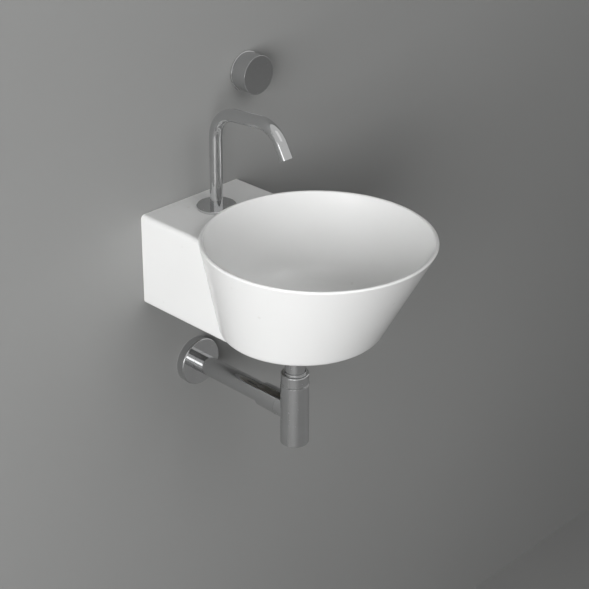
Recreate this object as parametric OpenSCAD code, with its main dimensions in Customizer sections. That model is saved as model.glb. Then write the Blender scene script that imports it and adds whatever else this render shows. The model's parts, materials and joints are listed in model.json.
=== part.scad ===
// A wall-hung hand washbasin: a block at the wall carries a round bowl, a tube spout stands on the
// block, a round knob turns a valve in the wall, and a bottle trap drains the bowl.
// X runs to the right as one stands in front of it, Y runs into the wall and Z runs up.
// The wall is the plane Y = 0. The origin lies on it, midway between the two fixing studs.

/* [Basin] */
// Distance from the wall to the nearest point of the rim
rim_gap = 100; // [92:1:130]
// Diameter of the rim at its widest
rim_d = 347; // [330:1:390]
// Height from the underside of the block to the rim
basin_h = 170; // [164:1:190]
// Diameter of the foot of the bowl
bowl_base_d = 245; // [230:1:262]
// Distance of the middle of the bowl's foot from the wall
bowl_base_reach = 239.5; // [234:0.5:248]
// Height of the bowl's underside above the underside of the block
bowl_lift = 11; // [8:0.5:16]
// Thickness of the bowl's wall at its floor, measured level
bowl_wall = 9; // [8:0.5:12]
// Thickness of the bowl's wall at its rim, measured level
rim_t = 6.5; // [6.4:0.1:9]
// Thickness of the bowl's floor
bowl_floor = 14; // [13:0.5:20]
// Radius between the bowl's floor and its wall, inside
bowl_fillet = 60; // [40:1:64]
// Radius of the rim's two edges
rim_round = 2.8; // [1:0.1:3]
// Radius of the bowl's lower edge, outside
base_round = 9; // [3:0.5:10]
// Width of the block
block_w = 206; // [190:1:210]
// Height of the block, up to the deck
block_h = 150; // [140:1:155]
// Thickness of the block's sides and back
block_wall = 12; // [10:0.5:16]
// Thickness of the deck
deck_t = 14; // [10:0.5:20]
// Radius of the block's upper side edges
deck_round = 7.5; // [3:0.5:12]
// Radius of the block's lower edges
foot_round = 6; // [3:0.5:8]
// Distance from the wall at which the foot of the block turns round under the bowl
foot_reach = 227; // [220:1:232]
// Width of the opening in the back for the supply
supply_w = 60; // [40:1:80]
// Height of the opening in the back for the supply
supply_h = 46; // [30:1:50]
// Height of the middle of that opening above the underside of the block
supply_rise = 46; // [42:1:50]
// Radius of that opening's corners
supply_round = 8; // [3:0.5:12]

/* [Wall fixing] */
// Height of the fixing studs above the underside of the block
fixing_h = 100; // [95:1:108]
// Distance between the two fixing studs
fixing_spacing = 130; // [100:1:140]
// Diameter of a stud
stud_d = 10; // [8:0.5:12]
// Diameter of the plain neck between a stud's two threads
stud_neck_d = 8.8; // [7:0.1:9.4]
// Length of that neck, from the wall's face outwards
stud_neck_len = 5; // [2:0.5:9]
// Length of a stud in the wall
stud_in_wall = 70; // [50:1:90]
// Length of a stud past its nut
stud_proud = 5; // [2:0.5:12]
// Diameter of the hole that a stud goes through in the block
fixing_hole_d = 18; // [17:0.5:22]
// Diameter of the sleeve's flange
sleeve_flange_d = 30; // [26:1:34]
// Thickness of the sleeve's flange
sleeve_flange_t = 3; // [2:0.5:4]
// Diameter of the washer
fixing_washer_d = 24; // [21:1:26]
// Thickness of the washer
fixing_washer_t = 2; // [1:0.5:3]
// Width of the nut across its flats
fixing_nut_w = 17; // [16:0.5:19]
// Height of the nut
fixing_nut_h = 8; // [6:0.5:10]

/* [Tap] */
// Distance of the tap's axis from the wall
tap_reach = 58; // [54:1:59]
// Diameter of the hole for the tap in the deck
tap_hole_d = 35; // [32:0.5:37]
// Diameter of the flange on the deck
flange_d = 62; // [56:1:64]
// Height of the flange
flange_h = 4.5; // [4:0.25:6]
// Bevel on the flange's upper edge
flange_bevel = 1; // [0.5:0.25:1.5]
// Outside diameter of the seal under the flange
base_seal_d = 54; // [46:1:54]
// Inside diameter of the seal under the flange
base_seal_bore = 42; // [38:0.5:44]
// Thickness of the seal under the flange
base_seal_t = 2; // [1:0.25:2.5]
// Diameter of the threaded shank
shank_d = 28; // [26:0.5:30]
// Height of the shank inside the flange
shank_in_flange = 3; // [2:0.25:3.25]
// Length of the shank below the deck's upper face
shank_len = 62; // [58:1:75]
// Diameter of the supply nipple at the shank's end
nipple_d = 20.9; // [16:0.1:22]
// Length of the supply nipple
nipple_len = 16; // [10:1:20]
// Outside diameter of the two washers under the deck
deck_washer_d = 46; // [40:1:50]
// Thickness of the rubber washer under the deck
rubber_washer_t = 3; // [2:0.5:4]
// Thickness of the metal washer under the deck
metal_washer_t = 2; // [1:0.5:3]
// Width of the locknut across its flats
locknut_w = 38; // [34:1:42]
// Height of the locknut
locknut_h = 9; // [7:0.5:12]

/* [Spout] */
// Diameter of the spout's tube
tube_d = 20; // [18:0.5:22]
// Wall of the spout's tube
tube_wall = 2; // [1.5:0.25:2.5]
// Height above the deck at which the riser meets the line of the run
riser_h = 156; // [130:1:200]
// Length of the run between its two bends' corners
run_len = 123; // [105:1:140]
// Angle at which the run rises
run_rise = 5; // [0:1:15]
// Length of the nozzle from the bend's corner to its tip
nozzle_len = 53; // [50:1:70]
// Angle of the nozzle below level
nozzle_drop = 60; // [45:1:75]
// Radius of the bends, on the tube's middle line
bend_r = 45; // [34:1:48]
// Depth to which the tube reaches below the deck's upper face
tube_in_shank = 2; // [1:0.5:6]
// Length of the turned foot below the tube
foot_len = 30; // [28:1:36]
// Length of the foot's spigot inside the tube
spigot_len = 10; // [6:1:20]
// Bore of the foot
foot_bore = 11; // [8:0.5:12]
// Thickness of the foot's O-rings
o_ring_t = 1.78; // [1.5:0.02:2]
// Depth of the upper O-ring below the top of the foot
upper_ring_depth = 6; // [4:0.5:8]
// Distance between the two O-rings
ring_pitch = 8; // [5:0.5:9]
// Thickness of the snap ring
snap_t = 1.6; // [1:0.1:2]
// Height of the snap ring above the lower end of the foot
snap_rise = 3; // [2:0.5:5]
// Depth of the snap ring in the foot
snap_depth = 1.4; // [1:0.1:1.8]
// How far the snap ring stands out of the foot
snap_grip = 0.8; // [0.4:0.1:1.1]
// Depth of the grooves that hold the O-rings over the rings' own width
ring_groove_over = 0.6; // [0.3:0.1:1]

/* [Aerator] */
// Diameter of the counterbore in the nozzle's end
nozzle_bore = 17.4; // [17:0.1:17.5]
// Depth of that counterbore
nozzle_depth = 14; // [12:0.5:18]
// How far the aerator sits back from the nozzle's end
aerator_inset = 0.8; // [0.3:0.1:1.5]
// Wall of the aerator's housing
aerator_wall = 1.3; // [1:0.1:1.6]
// Thickness of the aerator's seal
aerator_seal_t = 1.5; // [1:0.1:2]
// Thickness of the aerator's screen
screen_t = 2; // [1:0.25:3]
// Width of one cell of the screen
screen_cell = 2.6; // [2:0.1:3]
// Width of the screen's bars
screen_bar = 0.5; // [0.4:0.1:0.8]
// Thickness of the lip that holds the screen
screen_lip_t = 0.8; // [0.5:0.1:1.2]
// Width of the lip that holds the screen
screen_lip_w = 0.7; // [0.5:0.1:1]
// Diameter of the holes in the insert behind the screen
jet_d = 1.6; // [1:0.1:2]

/* [Knob and valve] */
// Distance of the knob's axis to the right of the tap
knob_x = 118; // [100:0.5:160]
// Height of the knob's axis above the deck
knob_rise = 176; // [120:1:220]
// Diameter of the knob
knob_d = 62; // [54:1:70]
// Length of the knob
knob_len = 27; // [25:0.5:34]
// Radius of the knob's front edge
knob_front_round = 1.2; // [0.5:0.1:2.5]
// Radius of the knob's back edge
knob_back_round = 1.8; // [0.5:0.1:2]
// Thickness of the knob's front
knob_front_t = 5; // [3:0.5:6]
// Thickness of the knob's side
knob_side_t = 4; // [3:0.5:6]
// Gap between the knob and the plate behind it
knob_gap = 0.5; // [0.3:0.1:1.5]
// Outside diameter of the hub inside the knob
hub_d = 24; // [21:0.5:28]
// Diameter of the adapter in the hub
adapter_d = 16; // [14:0.5:17]
// How far the hub ends in front of the knob's back edge
hub_inset = 4.5; // [4:0.25:7]
// How far the spindle ends behind the hub's bottom
spindle_short = 3.5; // [2:0.25:5]
// Distance of the grub screw from the knob's back edge
grub_rise = 12.5; // [11:0.5:14]
// Diameter of the plate on the wall
plate_d = 64; // [58:1:72]
// Thickness of the plate on the wall
plate_t = 3; // [2.8:0.1:4]
// Bevel on the plate's front edge
plate_bevel = 0.6; // [0.3:0.1:1]
// Diameter of the collar that carries the plate
collar_d = 32; // [30:0.5:36]
// How far the collar's face lies behind the plate's face
collar_inset = 0.5; // [0.2:0.1:1]
// Diameter of the barrel of the valve in the wall
barrel_d = 40; // [36:1:50]
// Depth of the valve behind the wall's face
valve_depth = 46; // [44:1:60]
// Diameter of the cartridge's body
cartridge_d = 24; // [23:0.5:26]
// Depth of the cartridge behind the wall's face
cartridge_depth = 25; // [24:0.5:30]
// Height of the cartridge's hexagon
cartridge_head_h = 4.5; // [3:0.25:4.75]
// Width of the cartridge's hexagon across its flats
cartridge_head_w = 27; // [25.5:0.5:27.5]
// Wall of the cartridge round its discs
cartridge_wall = 3; // [2:0.25:4]
// Diameter of the spindle
spindle_d = 8; // [7:0.25:9]
// Depth of the flat on the spindle
spindle_flat = 0.8; // [0.5:0.1:1.5]
// How far the spindle's head stands out beyond its shaft
spindle_collar = 2.8; // [2:0.1:4]
// Height of the spindle's head
spindle_head = 5; // [4:0.25:6]
// Thickness of the spindle's O-ring
stem_ring_t = 1.03; // [0.8:0.01:1.2]
// Depth of the spindle's O-ring behind the wall's face
stem_ring_depth = 4; // [3:0.5:6]
// Width of the groove that holds it
stem_groove_w = 2; // [1.5:0.1:2.5]
// Thickness of each ceramic disc
disc_t = 3.5; // [2.5:0.25:4]
// Diameter of the ports through the discs
disc_port_d = 4.4; // [3:0.2:5]
// Thickness of the seal behind the fixed disc
seat_seal_t = 3; // [2:0.25:4]
// Diameter of the grub screw in the knob
grub_d = 4.8; // [3:0.2:5]
// Diameter of the valve's two pipe ports, outside
port_d = 26; // [25:0.5:28]
// Distance of each port's face from the valve's axis
port_reach = 40; // [38:1:50]
// Bore of the pipe thread in each port
port_thread_d = 18.6; // [14:0.1:19]
// Depth of the pipe thread in each port
port_thread_len = 14; // [10:1:15]
// Bore of the passages between the ports and the cartridge
passage_d = 10; // [8:0.5:12]
// Distance of the inlet's axis behind the seal of the cartridge
inlet_behind = 4; // [3:0.5:6]

/* [Waste] */
// Distance of the waste's axis from the wall
waste_reach = 228; // [226:1:236]
// Diameter of the hole in the bowl's floor
waste_hole_d = 46; // [44:0.5:48]
// Depth of the dish round the waste
dish_depth = 5; // [4.5:0.25:6]
// Diameter of the dish at the floor
dish_d = 112; // [100:1:116]
// Diameter of the flat seat at the bottom of the dish
seat_d = 68; // [66:1:74]
// Diameter of the waste's flange
waste_flange_d = 64; // [60:1:65]
// Thickness of the waste's flange
waste_flange_t = 2.5; // [2:0.25:3]
// Diameter of the waste's threaded tail
tail_d = 41.9; // [40:0.1:43]
// Length of the waste's tail below its flange
tail_len = 53.5; // [48:0.5:60]
// Bore of the waste's tail
tail_bore = 35; // [32:0.5:36]
// Thickness of the gasket on top of the ceramic
upper_gasket_t = 1.5; // [1:0.25:2]
// Thickness of the gasket under the ceramic
lower_gasket_t = 3; // [2:0.25:4]
// Outside diameter of the gasket under the ceramic
lower_gasket_d = 60; // [56:1:64]
// How far the upper gasket ends inside the waste's flange
upper_gasket_inset = 2; // [0.5:0.25:4]
// Width of the waste's locknut across its flats
waste_nut_w = 52; // [50:1:56]
// Height of the waste's locknut
waste_nut_h = 9; // [7:0.5:11]
// Diameter of the lift-off cover
cover_d = 62; // [58:1:66]
// Thickness of the cover at its edge
cover_edge_t = 2.2; // [1.5:0.1:3]
// Rise of the cover's dome
cover_dome = 2.6; // [1:0.1:4]
// Height of the cover's edge above the waste's flange
cover_gap = 4; // [3:0.25:8]
// Diameter of the cover's stem
stem_d = 8; // [6:0.25:9]
// Length of the cover's stem inside the hub and below
stem_len = 18; // [12:0.5:24]
// How far the spider lies below the top of the flange
spider_depth = 2; // [1:0.25:4]
// Height of the spider's arms
spider_h = 6; // [4:0.5:8]
// Width of the spider's arms
spider_arm = 3; // [2:0.25:4]
// Wall of the spider's hub round the stem
spider_hub_wall = 3; // [2:0.25:4]
// Wall of the cover's shoulder round its stem
cover_shoulder = 2; // [1:0.25:2.5]
// Bevel at the mouth of the waste
waste_mouth = 2; // [1:0.25:2.25]

/* [Trap] */
// Diameter of the trap's tubes
pipe_d = 32; // [30:0.5:34]
// Wall of the trap's tubes
pipe_wall = 1.4; // [1:0.1:2]
// Diameter of the union nut
union_d = 52; // [50:0.5:56]
// Length of the union nut on the tail's thread
union_grip = 18; // [12:0.5:20]
// Thickness of the seal in the union
union_seal_t = 3; // [2:0.25:4]
// Thickness of the collar on the inlet tube
pipe_collar_t = 2.5; // [1.5:0.25:4]
// Thickness of the union nut's lip
union_lip_t = 3.5; // [2:0.25:5]
// Radius of the union nut's edges
union_round = 1.5; // [0.5:0.25:2]
// Depth of the trap's cap below the underside of the block
trap_drop = 72; // [60:1:90]
// Diameter of the trap's body and its cap
trap_d = 45; // [44:0.5:46]
// Height of the trap, cap and body together
trap_h = 124; // [116:1:140]
// Height of the cap
cap_h = 19; // [17:0.5:22]
// Radius of the cap's upper edge
cap_round = 2.5; // [1:0.25:3]
// Radius of the edges beside the gap between the cap and the body
seam_round = 0.5; // [0.25:0.05:0.75]
// Gap that shows between the cap and the body
cap_gap = 1; // [0.5:0.1:1.5]
// Thickness of the cap's top
cap_top_t = 3.5; // [3:0.25:4.5]
// Thickness of the seal in the cap
cap_seal_t = 2.5; // [2:0.25:4]
// Diameter of the body's neck
neck_d = 41; // [40:0.25:41.5]
// Bore of the body
body_bore = 38.6; // [38:0.1:39]
// Radius of the body's lower edge
body_round = 1.5; // [0.5:0.25:1.75]
// Thickness of the body's floor
body_floor = 4; // [3:0.25:6]
// Gap between the end of the inlet tube and the body's floor
dip_gap = 10; // [8:0.5:16]
// Height of the outlet's axis above the bottom of the trap
outlet_rise = 56; // [45:1:70]
// Diameter of the plug's head
plug_d = 36; // [34:0.5:37]
// Thickness of the plug's head
plug_t = 2.5; // [2:0.25:3.5]
// Diameter of the plug's thread
plug_thread_d = 30; // [26:0.5:31]
// Thickness of the plug's seal
plug_seal_t = 1.2; // [1:0.1:2]
// Width of the slot in the plug
slot_w = 2.2; // [1.5:0.1:3]
// Depth of the slot in the plug
slot_depth = 1.2; // [0.8:0.1:1.4]
// Distance of the face of the outlet boss from the trap's axis
boss_len = 28; // [25:0.5:30]
// Diameter of the outlet boss and the nut's thick end
outlet_nut_d = 40; // [39.5:0.25:42]
// Diameter of the nut's thin end
outlet_nut_end_d = 39; // [38:0.25:40]
// Length of the outlet nut
outlet_nut_len = 40; // [30:0.5:44]
// Diameter of the threaded socket inside the nut
socket_d = 36.4; // [36:0.1:37]
// Thickness of the outlet nut's end
outlet_lip_t = 6; // [4:0.5:8]
// Thickness of the seal in the outlet nut
outlet_seal_t = 6; // [4:0.5:8]
// Depth of the socket behind the boss's face, where the outlet tube stops
socket_stop = 4; // [2:0.5:5]
// Length of the outlet tube in the wall
pipe_in_wall = 45; // [30:1:80]
// Diameter to which that length is drawn in, so that it enters the wall's seal
spigot_d = 31.6; // [29:0.1:31.8]
// How far behind the wall's face the drawn-in length starts
spigot_start = 1; // [0.5:0.5:4]
// Diameter of the rosette on the wall
rosette_d = 80; // [70:1:90]
// Thickness of the rosette
rosette_t = 14.5; // [12:0.5:18]
// Radius of the rosette's front edge
rosette_round = 2; // [0.5:0.25:2.5]
// Wall of the rosette
rosette_wall = 2.5; // [2.5:0.25:4]
// Wall of the rosette's hub round the tube
rosette_hub_wall = 5; // [4:0.5:8]
// Width of the rubber ring in the rosette
rosette_ring_w = 3; // [2:0.25:4]
// Depth of the rubber ring in the rosette's hub
rosette_ring_depth = 2.5; // [1.5:0.25:3]

/* [Clearances] */
// Radial clearance of a turned fit
fit_gap = 0.05; // [0.02:0.01:0.1]
// Radial clearance of a thread
thread_gap = 0.1; // [0.05:0.01:0.15]
// Radial clearance of a loose part
loose_gap = 0.2; // [0.1:0.02:0.3]

/* [Hidden] */
$fn = 64;

// Length by which a cut runs past the face that it opens
past = 1;

// Levels of the basin
block_z = -fixing_h;
deck_z = block_z + block_h;
bowl_z = block_z + bowl_lift;
bowl_h = basin_h - bowl_lift;
floor_z = bowl_z + bowl_floor;
seat_z = floor_z - dish_depth;
// Radii of the bowl, and how far it leans out and widens per millimetre of height
basin_reach = rim_gap + rim_d;
base_r = bowl_base_d / 2;
flare = (rim_d / 2 - base_r) / (bowl_h - rim_round);
lip_out = rim_round * (sqrt(1 + flare * flare) - 1 + flare);
rim_r = rim_d / 2 + lip_out;
lean = (basin_reach - rim_d / 2 - bowl_base_reach) / (bowl_h - rim_round);
// Sizes of the spout
tube_r = tube_d / 2;
tube_in_r = tube_r - tube_wall;
first_turn = 90 - run_rise;
second_turn = run_rise + nozzle_drop;
first_tangent = bend_r * tan(first_turn / 2);
second_tangent = bend_r * tan(second_turn / 2);
tip_reach = tap_reach + run_len * cos(run_rise) + nozzle_len * cos(nozzle_drop);
tip_z = deck_z + riser_h + run_len * sin(run_rise) - nozzle_len * sin(nozzle_drop);
shank_bore_r = tube_r + fit_gap;
foot_top_z = deck_z - tube_in_shank;
foot_bottom_z = foot_top_z - foot_len;
ring_groove_r = tube_r - o_ring_t - 2 * fit_gap / 5;
ring_groove_w = o_ring_t + ring_groove_over;
snap_in_r = tube_r - snap_depth;
snap_out_r = tube_r + snap_grip;
snap_z = foot_bottom_z + snap_rise;
under_deck_z = deck_z - deck_t;
// Sizes of the knob and the valve, measured outwards from the wall
knob_z = deck_z + knob_rise;
knob_back = plate_t + knob_gap;
knob_front = knob_back + knob_len;
hub_back = knob_back + hub_inset;
hub_end = knob_front - knob_front_t;
collar_out = plate_t - collar_inset;
spindle_r = spindle_d / 2;
spindle_out = hub_end - spindle_short;
chamber_r = cartridge_d / 2 - cartridge_wall;
disc_r = chamber_r - thread_gap;
spindle_in = cartridge_depth - 2 * disc_t;
window_depth = spindle_in - spindle_head / 2;
grub_out = knob_back + grub_rise;
// Levels of the waste
waste_flange_z = seat_z + upper_gasket_t;
waste_top_z = waste_flange_z + waste_flange_t;
tail_z = waste_flange_z - tail_len;
tail_r = tail_d / 2;
hub_top_z = waste_top_z - spider_depth;
stem_hub_r = stem_d / 2 + spider_hub_wall;
cover_z = waste_top_z + cover_gap;
// Levels of the trap
pipe_r = pipe_d / 2;
pipe_in_r = pipe_r - pipe_wall;
collar_top_z = tail_z - union_seal_t;
collar_z = collar_top_z - pipe_collar_t;
cap_top_z = block_z - trap_drop;
cap_z = cap_top_z - cap_h;
trap_z = cap_top_z - trap_h;
trap_r = trap_d / 2;
shoulder_z = cap_z - cap_gap;
neck_z = cap_top_z - cap_top_t - cap_seal_t;
plug_seat_z = trap_z + plug_t + plug_seal_t;
body_floor_z = plug_seat_z + body_floor;
outlet_z = trap_z + outlet_rise;
boss_face = waste_reach - boss_len;
nut_back = boss_face - loose_gap;
nut_front = nut_back - outlet_nut_len;
socket_end = nut_front + outlet_lip_t + outlet_seal_t;
pipe_stop = boss_face + socket_stop;
rosette_ring_out = rosette_t / 2;

// Shapes that are used again

function unit(v) = v / norm(v);
function corner_angle(a, b, c) = acos(unit(a - b) * unit(c - b));
function turns_left(a, b, c) = cross(b - a, c - b) > 0;

// An outline with rounded corners, its points given anticlockwise with one radius for each
module rounded(points, radii) {
    n = len(points);
    before = [for (i = [0:n - 1]) points[(i + n - 1) % n]];
    after = [for (i = [0:n - 1]) points[(i + 1) % n]];
    half = [for (i = [0:n - 1]) corner_angle(before[i], points[i], after[i]) / 2];
    to_before = [for (i = [0:n - 1]) unit(before[i] - points[i])];
    to_after = [for (i = [0:n - 1]) unit(after[i] - points[i])];
    start = [for (i = [0:n - 1]) points[i] + to_before[i] * radii[i] / tan(half[i])];
    end = [for (i = [0:n - 1]) points[i] + to_after[i] * radii[i] / tan(half[i])];
    middle = [for (i = [0:n - 1]) points[i] + unit(to_before[i] + to_after[i]) * radii[i] / sin(half[i])];
    left = [for (i = [0:n - 1]) turns_left(before[i], points[i], after[i])];
    difference() {
        union() {
            polygon([for (i = [0:n - 1]) for (p = radii[i] > 0 ? [start[i], end[i]] : [points[i]]) p]);
            for (i = [0:n - 1]) if (radii[i] > 0 && left[i])
                pie(middle[i], start[i], points[i], end[i], radii[i]);
        }
        for (i = [0:n - 1]) if (radii[i] > 0 && !left[i])
            pie(middle[i], start[i], points[i], end[i], radii[i]);
    }
}

// The part of a round corner that lies between its two edges
module pie(middle, start, corner, end, radius) {
    intersection() {
        translate(middle) circle(r = radius);
        polygon([middle, start, corner, end]);
    }
}

// A ring that stands on z = 0
module ring(outer_r, inner_r, h) {
    difference() {
        cylinder(h = h, r = outer_r);
        translate([0, 0, -past]) cylinder(h = h + 2 * past, r = inner_r);
    }
}

// A hexagon nut that stands on z = 0
module hex_nut(width, bore_r, h) {
    difference() {
        cylinder(h = h, r = width / 2 / cos(30), $fn = 6);
        translate([0, 0, -past]) cylinder(h = h + 2 * past, r = bore_r);
    }
}

// Puts what stands on z = 0 on the wall, pointing out of it
module out_of_wall(x, z) {
    translate([x, 0, z]) rotate([90, 0, 0]) children();
}

// Puts what is drawn round the z axis on the tap's axis, with z = 0 on the deck
module on_deck() {
    translate([0, -tap_reach, deck_z]) children();
}

// Puts what is drawn round the z axis on the waste's axis
module on_waste(z) {
    translate([0, -waste_reach, z]) children();
}

// Puts what is drawn round the z axis in the nozzle, with z = 0 at its end and z up its axis
module in_nozzle() {
    translate([0, -tip_reach, tip_z]) rotate([nozzle_drop - 90, 0, 0]) children();
}

// Puts what is drawn in the basin's upright cone on its leaning axis
module leaning() {
    translate([0, -bowl_base_reach, bowl_z])
        multmatrix([[1, 0, 0, 0], [0, 1, -lean, 0], [0, 0, 1, 0], [0, 0, 0, 1]]) children();
}

// The basin

// Radius of the bowl's outside at a height above its underside
function bowl_r(h) = base_r + flare * h;

// The bowl with its walls, floor and rim
module bowl_shell() {
    leaning() rotate_extrude($fn = 128) rounded(
        [[0, 0], [base_r, 0], [rim_r, bowl_h], [rim_r - rim_t, bowl_h],
            [bowl_r(bowl_floor) - bowl_wall, bowl_floor], [0, bowl_floor]],
        [0, base_round, rim_round, rim_round, bowl_fillet, 0]);
}

// The space inside the middle of the bowl's walls, which the block leaves free
module bowl_core() {
    mid = bowl_floor / 2;
    leaning() rotate_extrude($fn = 128) polygon(
        [[0, mid], [bowl_r(mid) - bowl_wall / 2, mid], [rim_r - rim_t / 2, bowl_h], [0, bowl_h]]);
}

// The block's outside: straight from the wall, and round under the bowl
module block_solid() {
    half_w = block_w / 2;
    out_of_wall(0, block_z) linear_extrude(height = foot_reach) rounded(
        [[-half_w, 0], [half_w, 0], [half_w, block_h], [-half_w, block_h]],
        [foot_round, foot_round, deck_round, deck_round]);
    translate([0, -foot_reach, block_z]) rotate_extrude() rounded(
        [[0, 0], [half_w, 0], [half_w, bowl_lift + bowl_floor / 2], [0, bowl_lift + bowl_floor / 2]],
        [0, foot_round, 0, 0]);
}

// The hollow of the block, open below
module block_hollow() {
    half_w = block_w / 2 - block_wall;
    top = block_h - deck_t;
    translate([0, -block_wall, 0]) out_of_wall(0, block_z) linear_extrude(height = foot_reach - block_wall)
        rounded([[-half_w, -past], [half_w, -past], [half_w, top], [-half_w, top]],
            [0, 0, deck_round, deck_round]);
    translate([0, -foot_reach, block_z - past]) cylinder(h = past + bowl_lift + bowl_floor / 3, r = half_w);
}

// The dish round the waste and the hole through it
module waste_cut() {
    slope = (dish_d - seat_d) / 2 / dish_depth;
    on_waste(seat_z) cylinder(h = dish_depth + past, r1 = seat_d / 2, r2 = dish_d / 2 + slope * past);
    on_waste(block_z) cylinder(h = seat_z - block_z + past, r = waste_hole_d / 2);
}

// The opening in the back through which the supply comes out of the wall
module supply_cut() {
    half_w = supply_w / 2;
    half_h = supply_h / 2;
    translate([0, past, 0]) out_of_wall(0, block_z + supply_rise)
        linear_extrude(height = block_wall + 2 * past) rounded(
            [[-half_w, -half_h], [half_w, -half_h], [half_w, half_h], [-half_w, half_h]],
            [supply_round, supply_round, supply_round, supply_round]);
}

module basin() {
    color([0.93, 0.94, 0.94]) difference() {
        union() {
            bowl_shell();
            difference() {
                block_solid();
                block_hollow();
                bowl_core();
            }
        }
        waste_cut();
        supply_cut();
        on_deck() translate([0, 0, -deck_t - past]) cylinder(h = deck_t + 2 * past, d = tap_hole_d);
        for (side = [-1, 1]) translate([0, past, 0]) out_of_wall(side * fixing_spacing / 2, 0)
            cylinder(h = block_wall + 2 * past, d = fixing_hole_d);
    }
}

// The wall fixing

// Puts what stands on z = 0 at each stud, so far out from the wall
module at_studs(out) {
    for (side = [-1, 1]) translate([0, -out, 0]) out_of_wall(side * fixing_spacing / 2, 0) children();
}

sleeve_out = block_wall;
washer_out = sleeve_out + sleeve_flange_t;
nut_out = washer_out + fixing_washer_t;
stud_out = nut_out + fixing_nut_h + stud_proud;

module fixing_studs() {
    point = stud_d;
    color("silver") at_studs(-stud_in_wall) rotate_extrude() polygon(
        [[0, 0], [stud_d / 4, 0], [stud_d / 2, point], [stud_d / 2, stud_in_wall],
            [stud_neck_d / 2, stud_in_wall], [stud_neck_d / 2, stud_in_wall + stud_neck_len],
            [stud_d / 2, stud_in_wall + stud_neck_len], [stud_d / 2, stud_in_wall + stud_out - 1],
            [stud_d / 2 - 1, stud_in_wall + stud_out], [0, stud_in_wall + stud_out]]);
}

module fixing_sleeves() {
    color("whitesmoke") at_studs(0) difference() {
        union() {
            cylinder(h = sleeve_out + sleeve_flange_t, d = fixing_hole_d - 2 * loose_gap);
            translate([0, 0, sleeve_out]) cylinder(h = sleeve_flange_t, d = sleeve_flange_d);
        }
        translate([0, 0, -past]) cylinder(h = washer_out + 2 * past, d = stud_d + 2 * loose_gap);
    }
}

module fixing_washers() {
    color("silver") at_studs(washer_out) ring(fixing_washer_d / 2, stud_d / 2 + loose_gap, fixing_washer_t);
}

module fixing_nuts() {
    color("silver") at_studs(nut_out) hex_nut(fixing_nut_w, stud_d / 2 + thread_gap, fixing_nut_h);
}

// The tap's fixed pieces

module tap_flange() {
    color([0.75, 0.77, 0.79]) on_deck() difference() {
        rotate_extrude() polygon([[0, 0], [flange_d / 2, 0], [flange_d / 2, flange_h - flange_bevel],
            [flange_d / 2 - flange_bevel, flange_h], [0, flange_h]]);
        translate([0, 0, -past]) cylinder(h = flange_h + 2 * past, r = tube_r + loose_gap);
        translate([0, 0, -past]) cylinder(h = shank_in_flange + past, r = shank_d / 2 + thread_gap);
        translate([0, 0, -past]) ring(base_seal_d / 2 + fit_gap, base_seal_bore / 2 - fit_gap,
            base_seal_t + past);
    }
}

module tap_base_seal() {
    color([0.15, 0.15, 0.16]) on_deck() ring(base_seal_d / 2, base_seal_bore / 2, base_seal_t);
}

module tap_shank() {
    shoulder = foot_bottom_z - deck_z - thread_gap;
    color([0.78, 0.66, 0.36]) on_deck() difference() {
        union() {
            translate([0, 0, -shank_len]) cylinder(h = shank_len + shank_in_flange, d = shank_d);
            translate([0, 0, -shank_len - nipple_len]) cylinder(h = nipple_len + past, d = nipple_d);
        }
        translate([0, 0, shoulder]) cylinder(h = shank_in_flange - shoulder + past, r = shank_bore_r);
        translate([0, 0, -shank_len - nipple_len - past]) cylinder(h = shank_len + nipple_len, d = foot_bore);
        translate([0, 0, snap_z - deck_z - thread_gap])
            cylinder(h = snap_t + 2 * thread_gap, r = snap_out_r + thread_gap);
    }
}

module tap_rubber_washer() {
    color([0.15, 0.15, 0.16]) on_deck() translate([0, 0, -deck_t - rubber_washer_t])
        ring(deck_washer_d / 2, shank_d / 2 + loose_gap, rubber_washer_t);
}

module tap_metal_washer() {
    color("silver") on_deck() translate([0, 0, -deck_t - rubber_washer_t - metal_washer_t])
        ring(deck_washer_d / 2, shank_d / 2 + loose_gap, metal_washer_t);
}

module tap_locknut() {
    color([0.78, 0.66, 0.36]) on_deck()
        translate([0, 0, -deck_t - rubber_washer_t - metal_washer_t - locknut_h])
        hex_nut(locknut_w, shank_d / 2 + thread_gap, locknut_h);
}

// The spout and what turns with it

// A quarter or less of a bend: it starts at the origin, runs up the z axis and turns towards -Y
module bend(r, turn) {
    translate([0, -bend_r, 0]) rotate([90, 0, 90])
        rotate_extrude(angle = turn) translate([bend_r, 0]) circle(r = r);
}

// The path of the spout's tube as a solid of radius r, run past its two ends by the given lengths.
// A straight laps the end of the bend before it, and is wider by a hair to take it in.
module spout_path(r, below, beyond) {
    lap = 0.4;
    hair = 0.004;
    riser = tube_in_shank + riser_h - first_tangent;
    run = run_len - first_tangent - second_tangent;
    nozzle = nozzle_len - second_tangent;
    on_deck() translate([0, 0, -tube_in_shank]) {
        translate([0, 0, -below]) cylinder(h = below + riser, r = r);
        translate([0, 0, riser]) {
            bend(r, first_turn);
            translate([0, -bend_r, 0]) rotate([first_turn, 0, 0]) translate([0, bend_r, 0]) {
                translate([0, 0, -lap]) cylinder(h = lap + run, r = r + hair);
                translate([0, 0, run]) {
                    bend(r, second_turn);
                    translate([0, -bend_r, 0]) rotate([second_turn, 0, 0]) translate([0, bend_r, 0])
                        translate([0, 0, -lap]) cylinder(h = lap + nozzle + beyond, r = r + hair);
                }
            }
        }
    }
}

module spout() {
    color([0.75, 0.77, 0.79]) difference() {
        spout_path(tube_r, 0, 0);
        spout_path(tube_in_r, past, past);
        in_nozzle() translate([0, 0, -past]) cylinder(h = nozzle_depth + past, d = nozzle_bore);
    }
}

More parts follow.
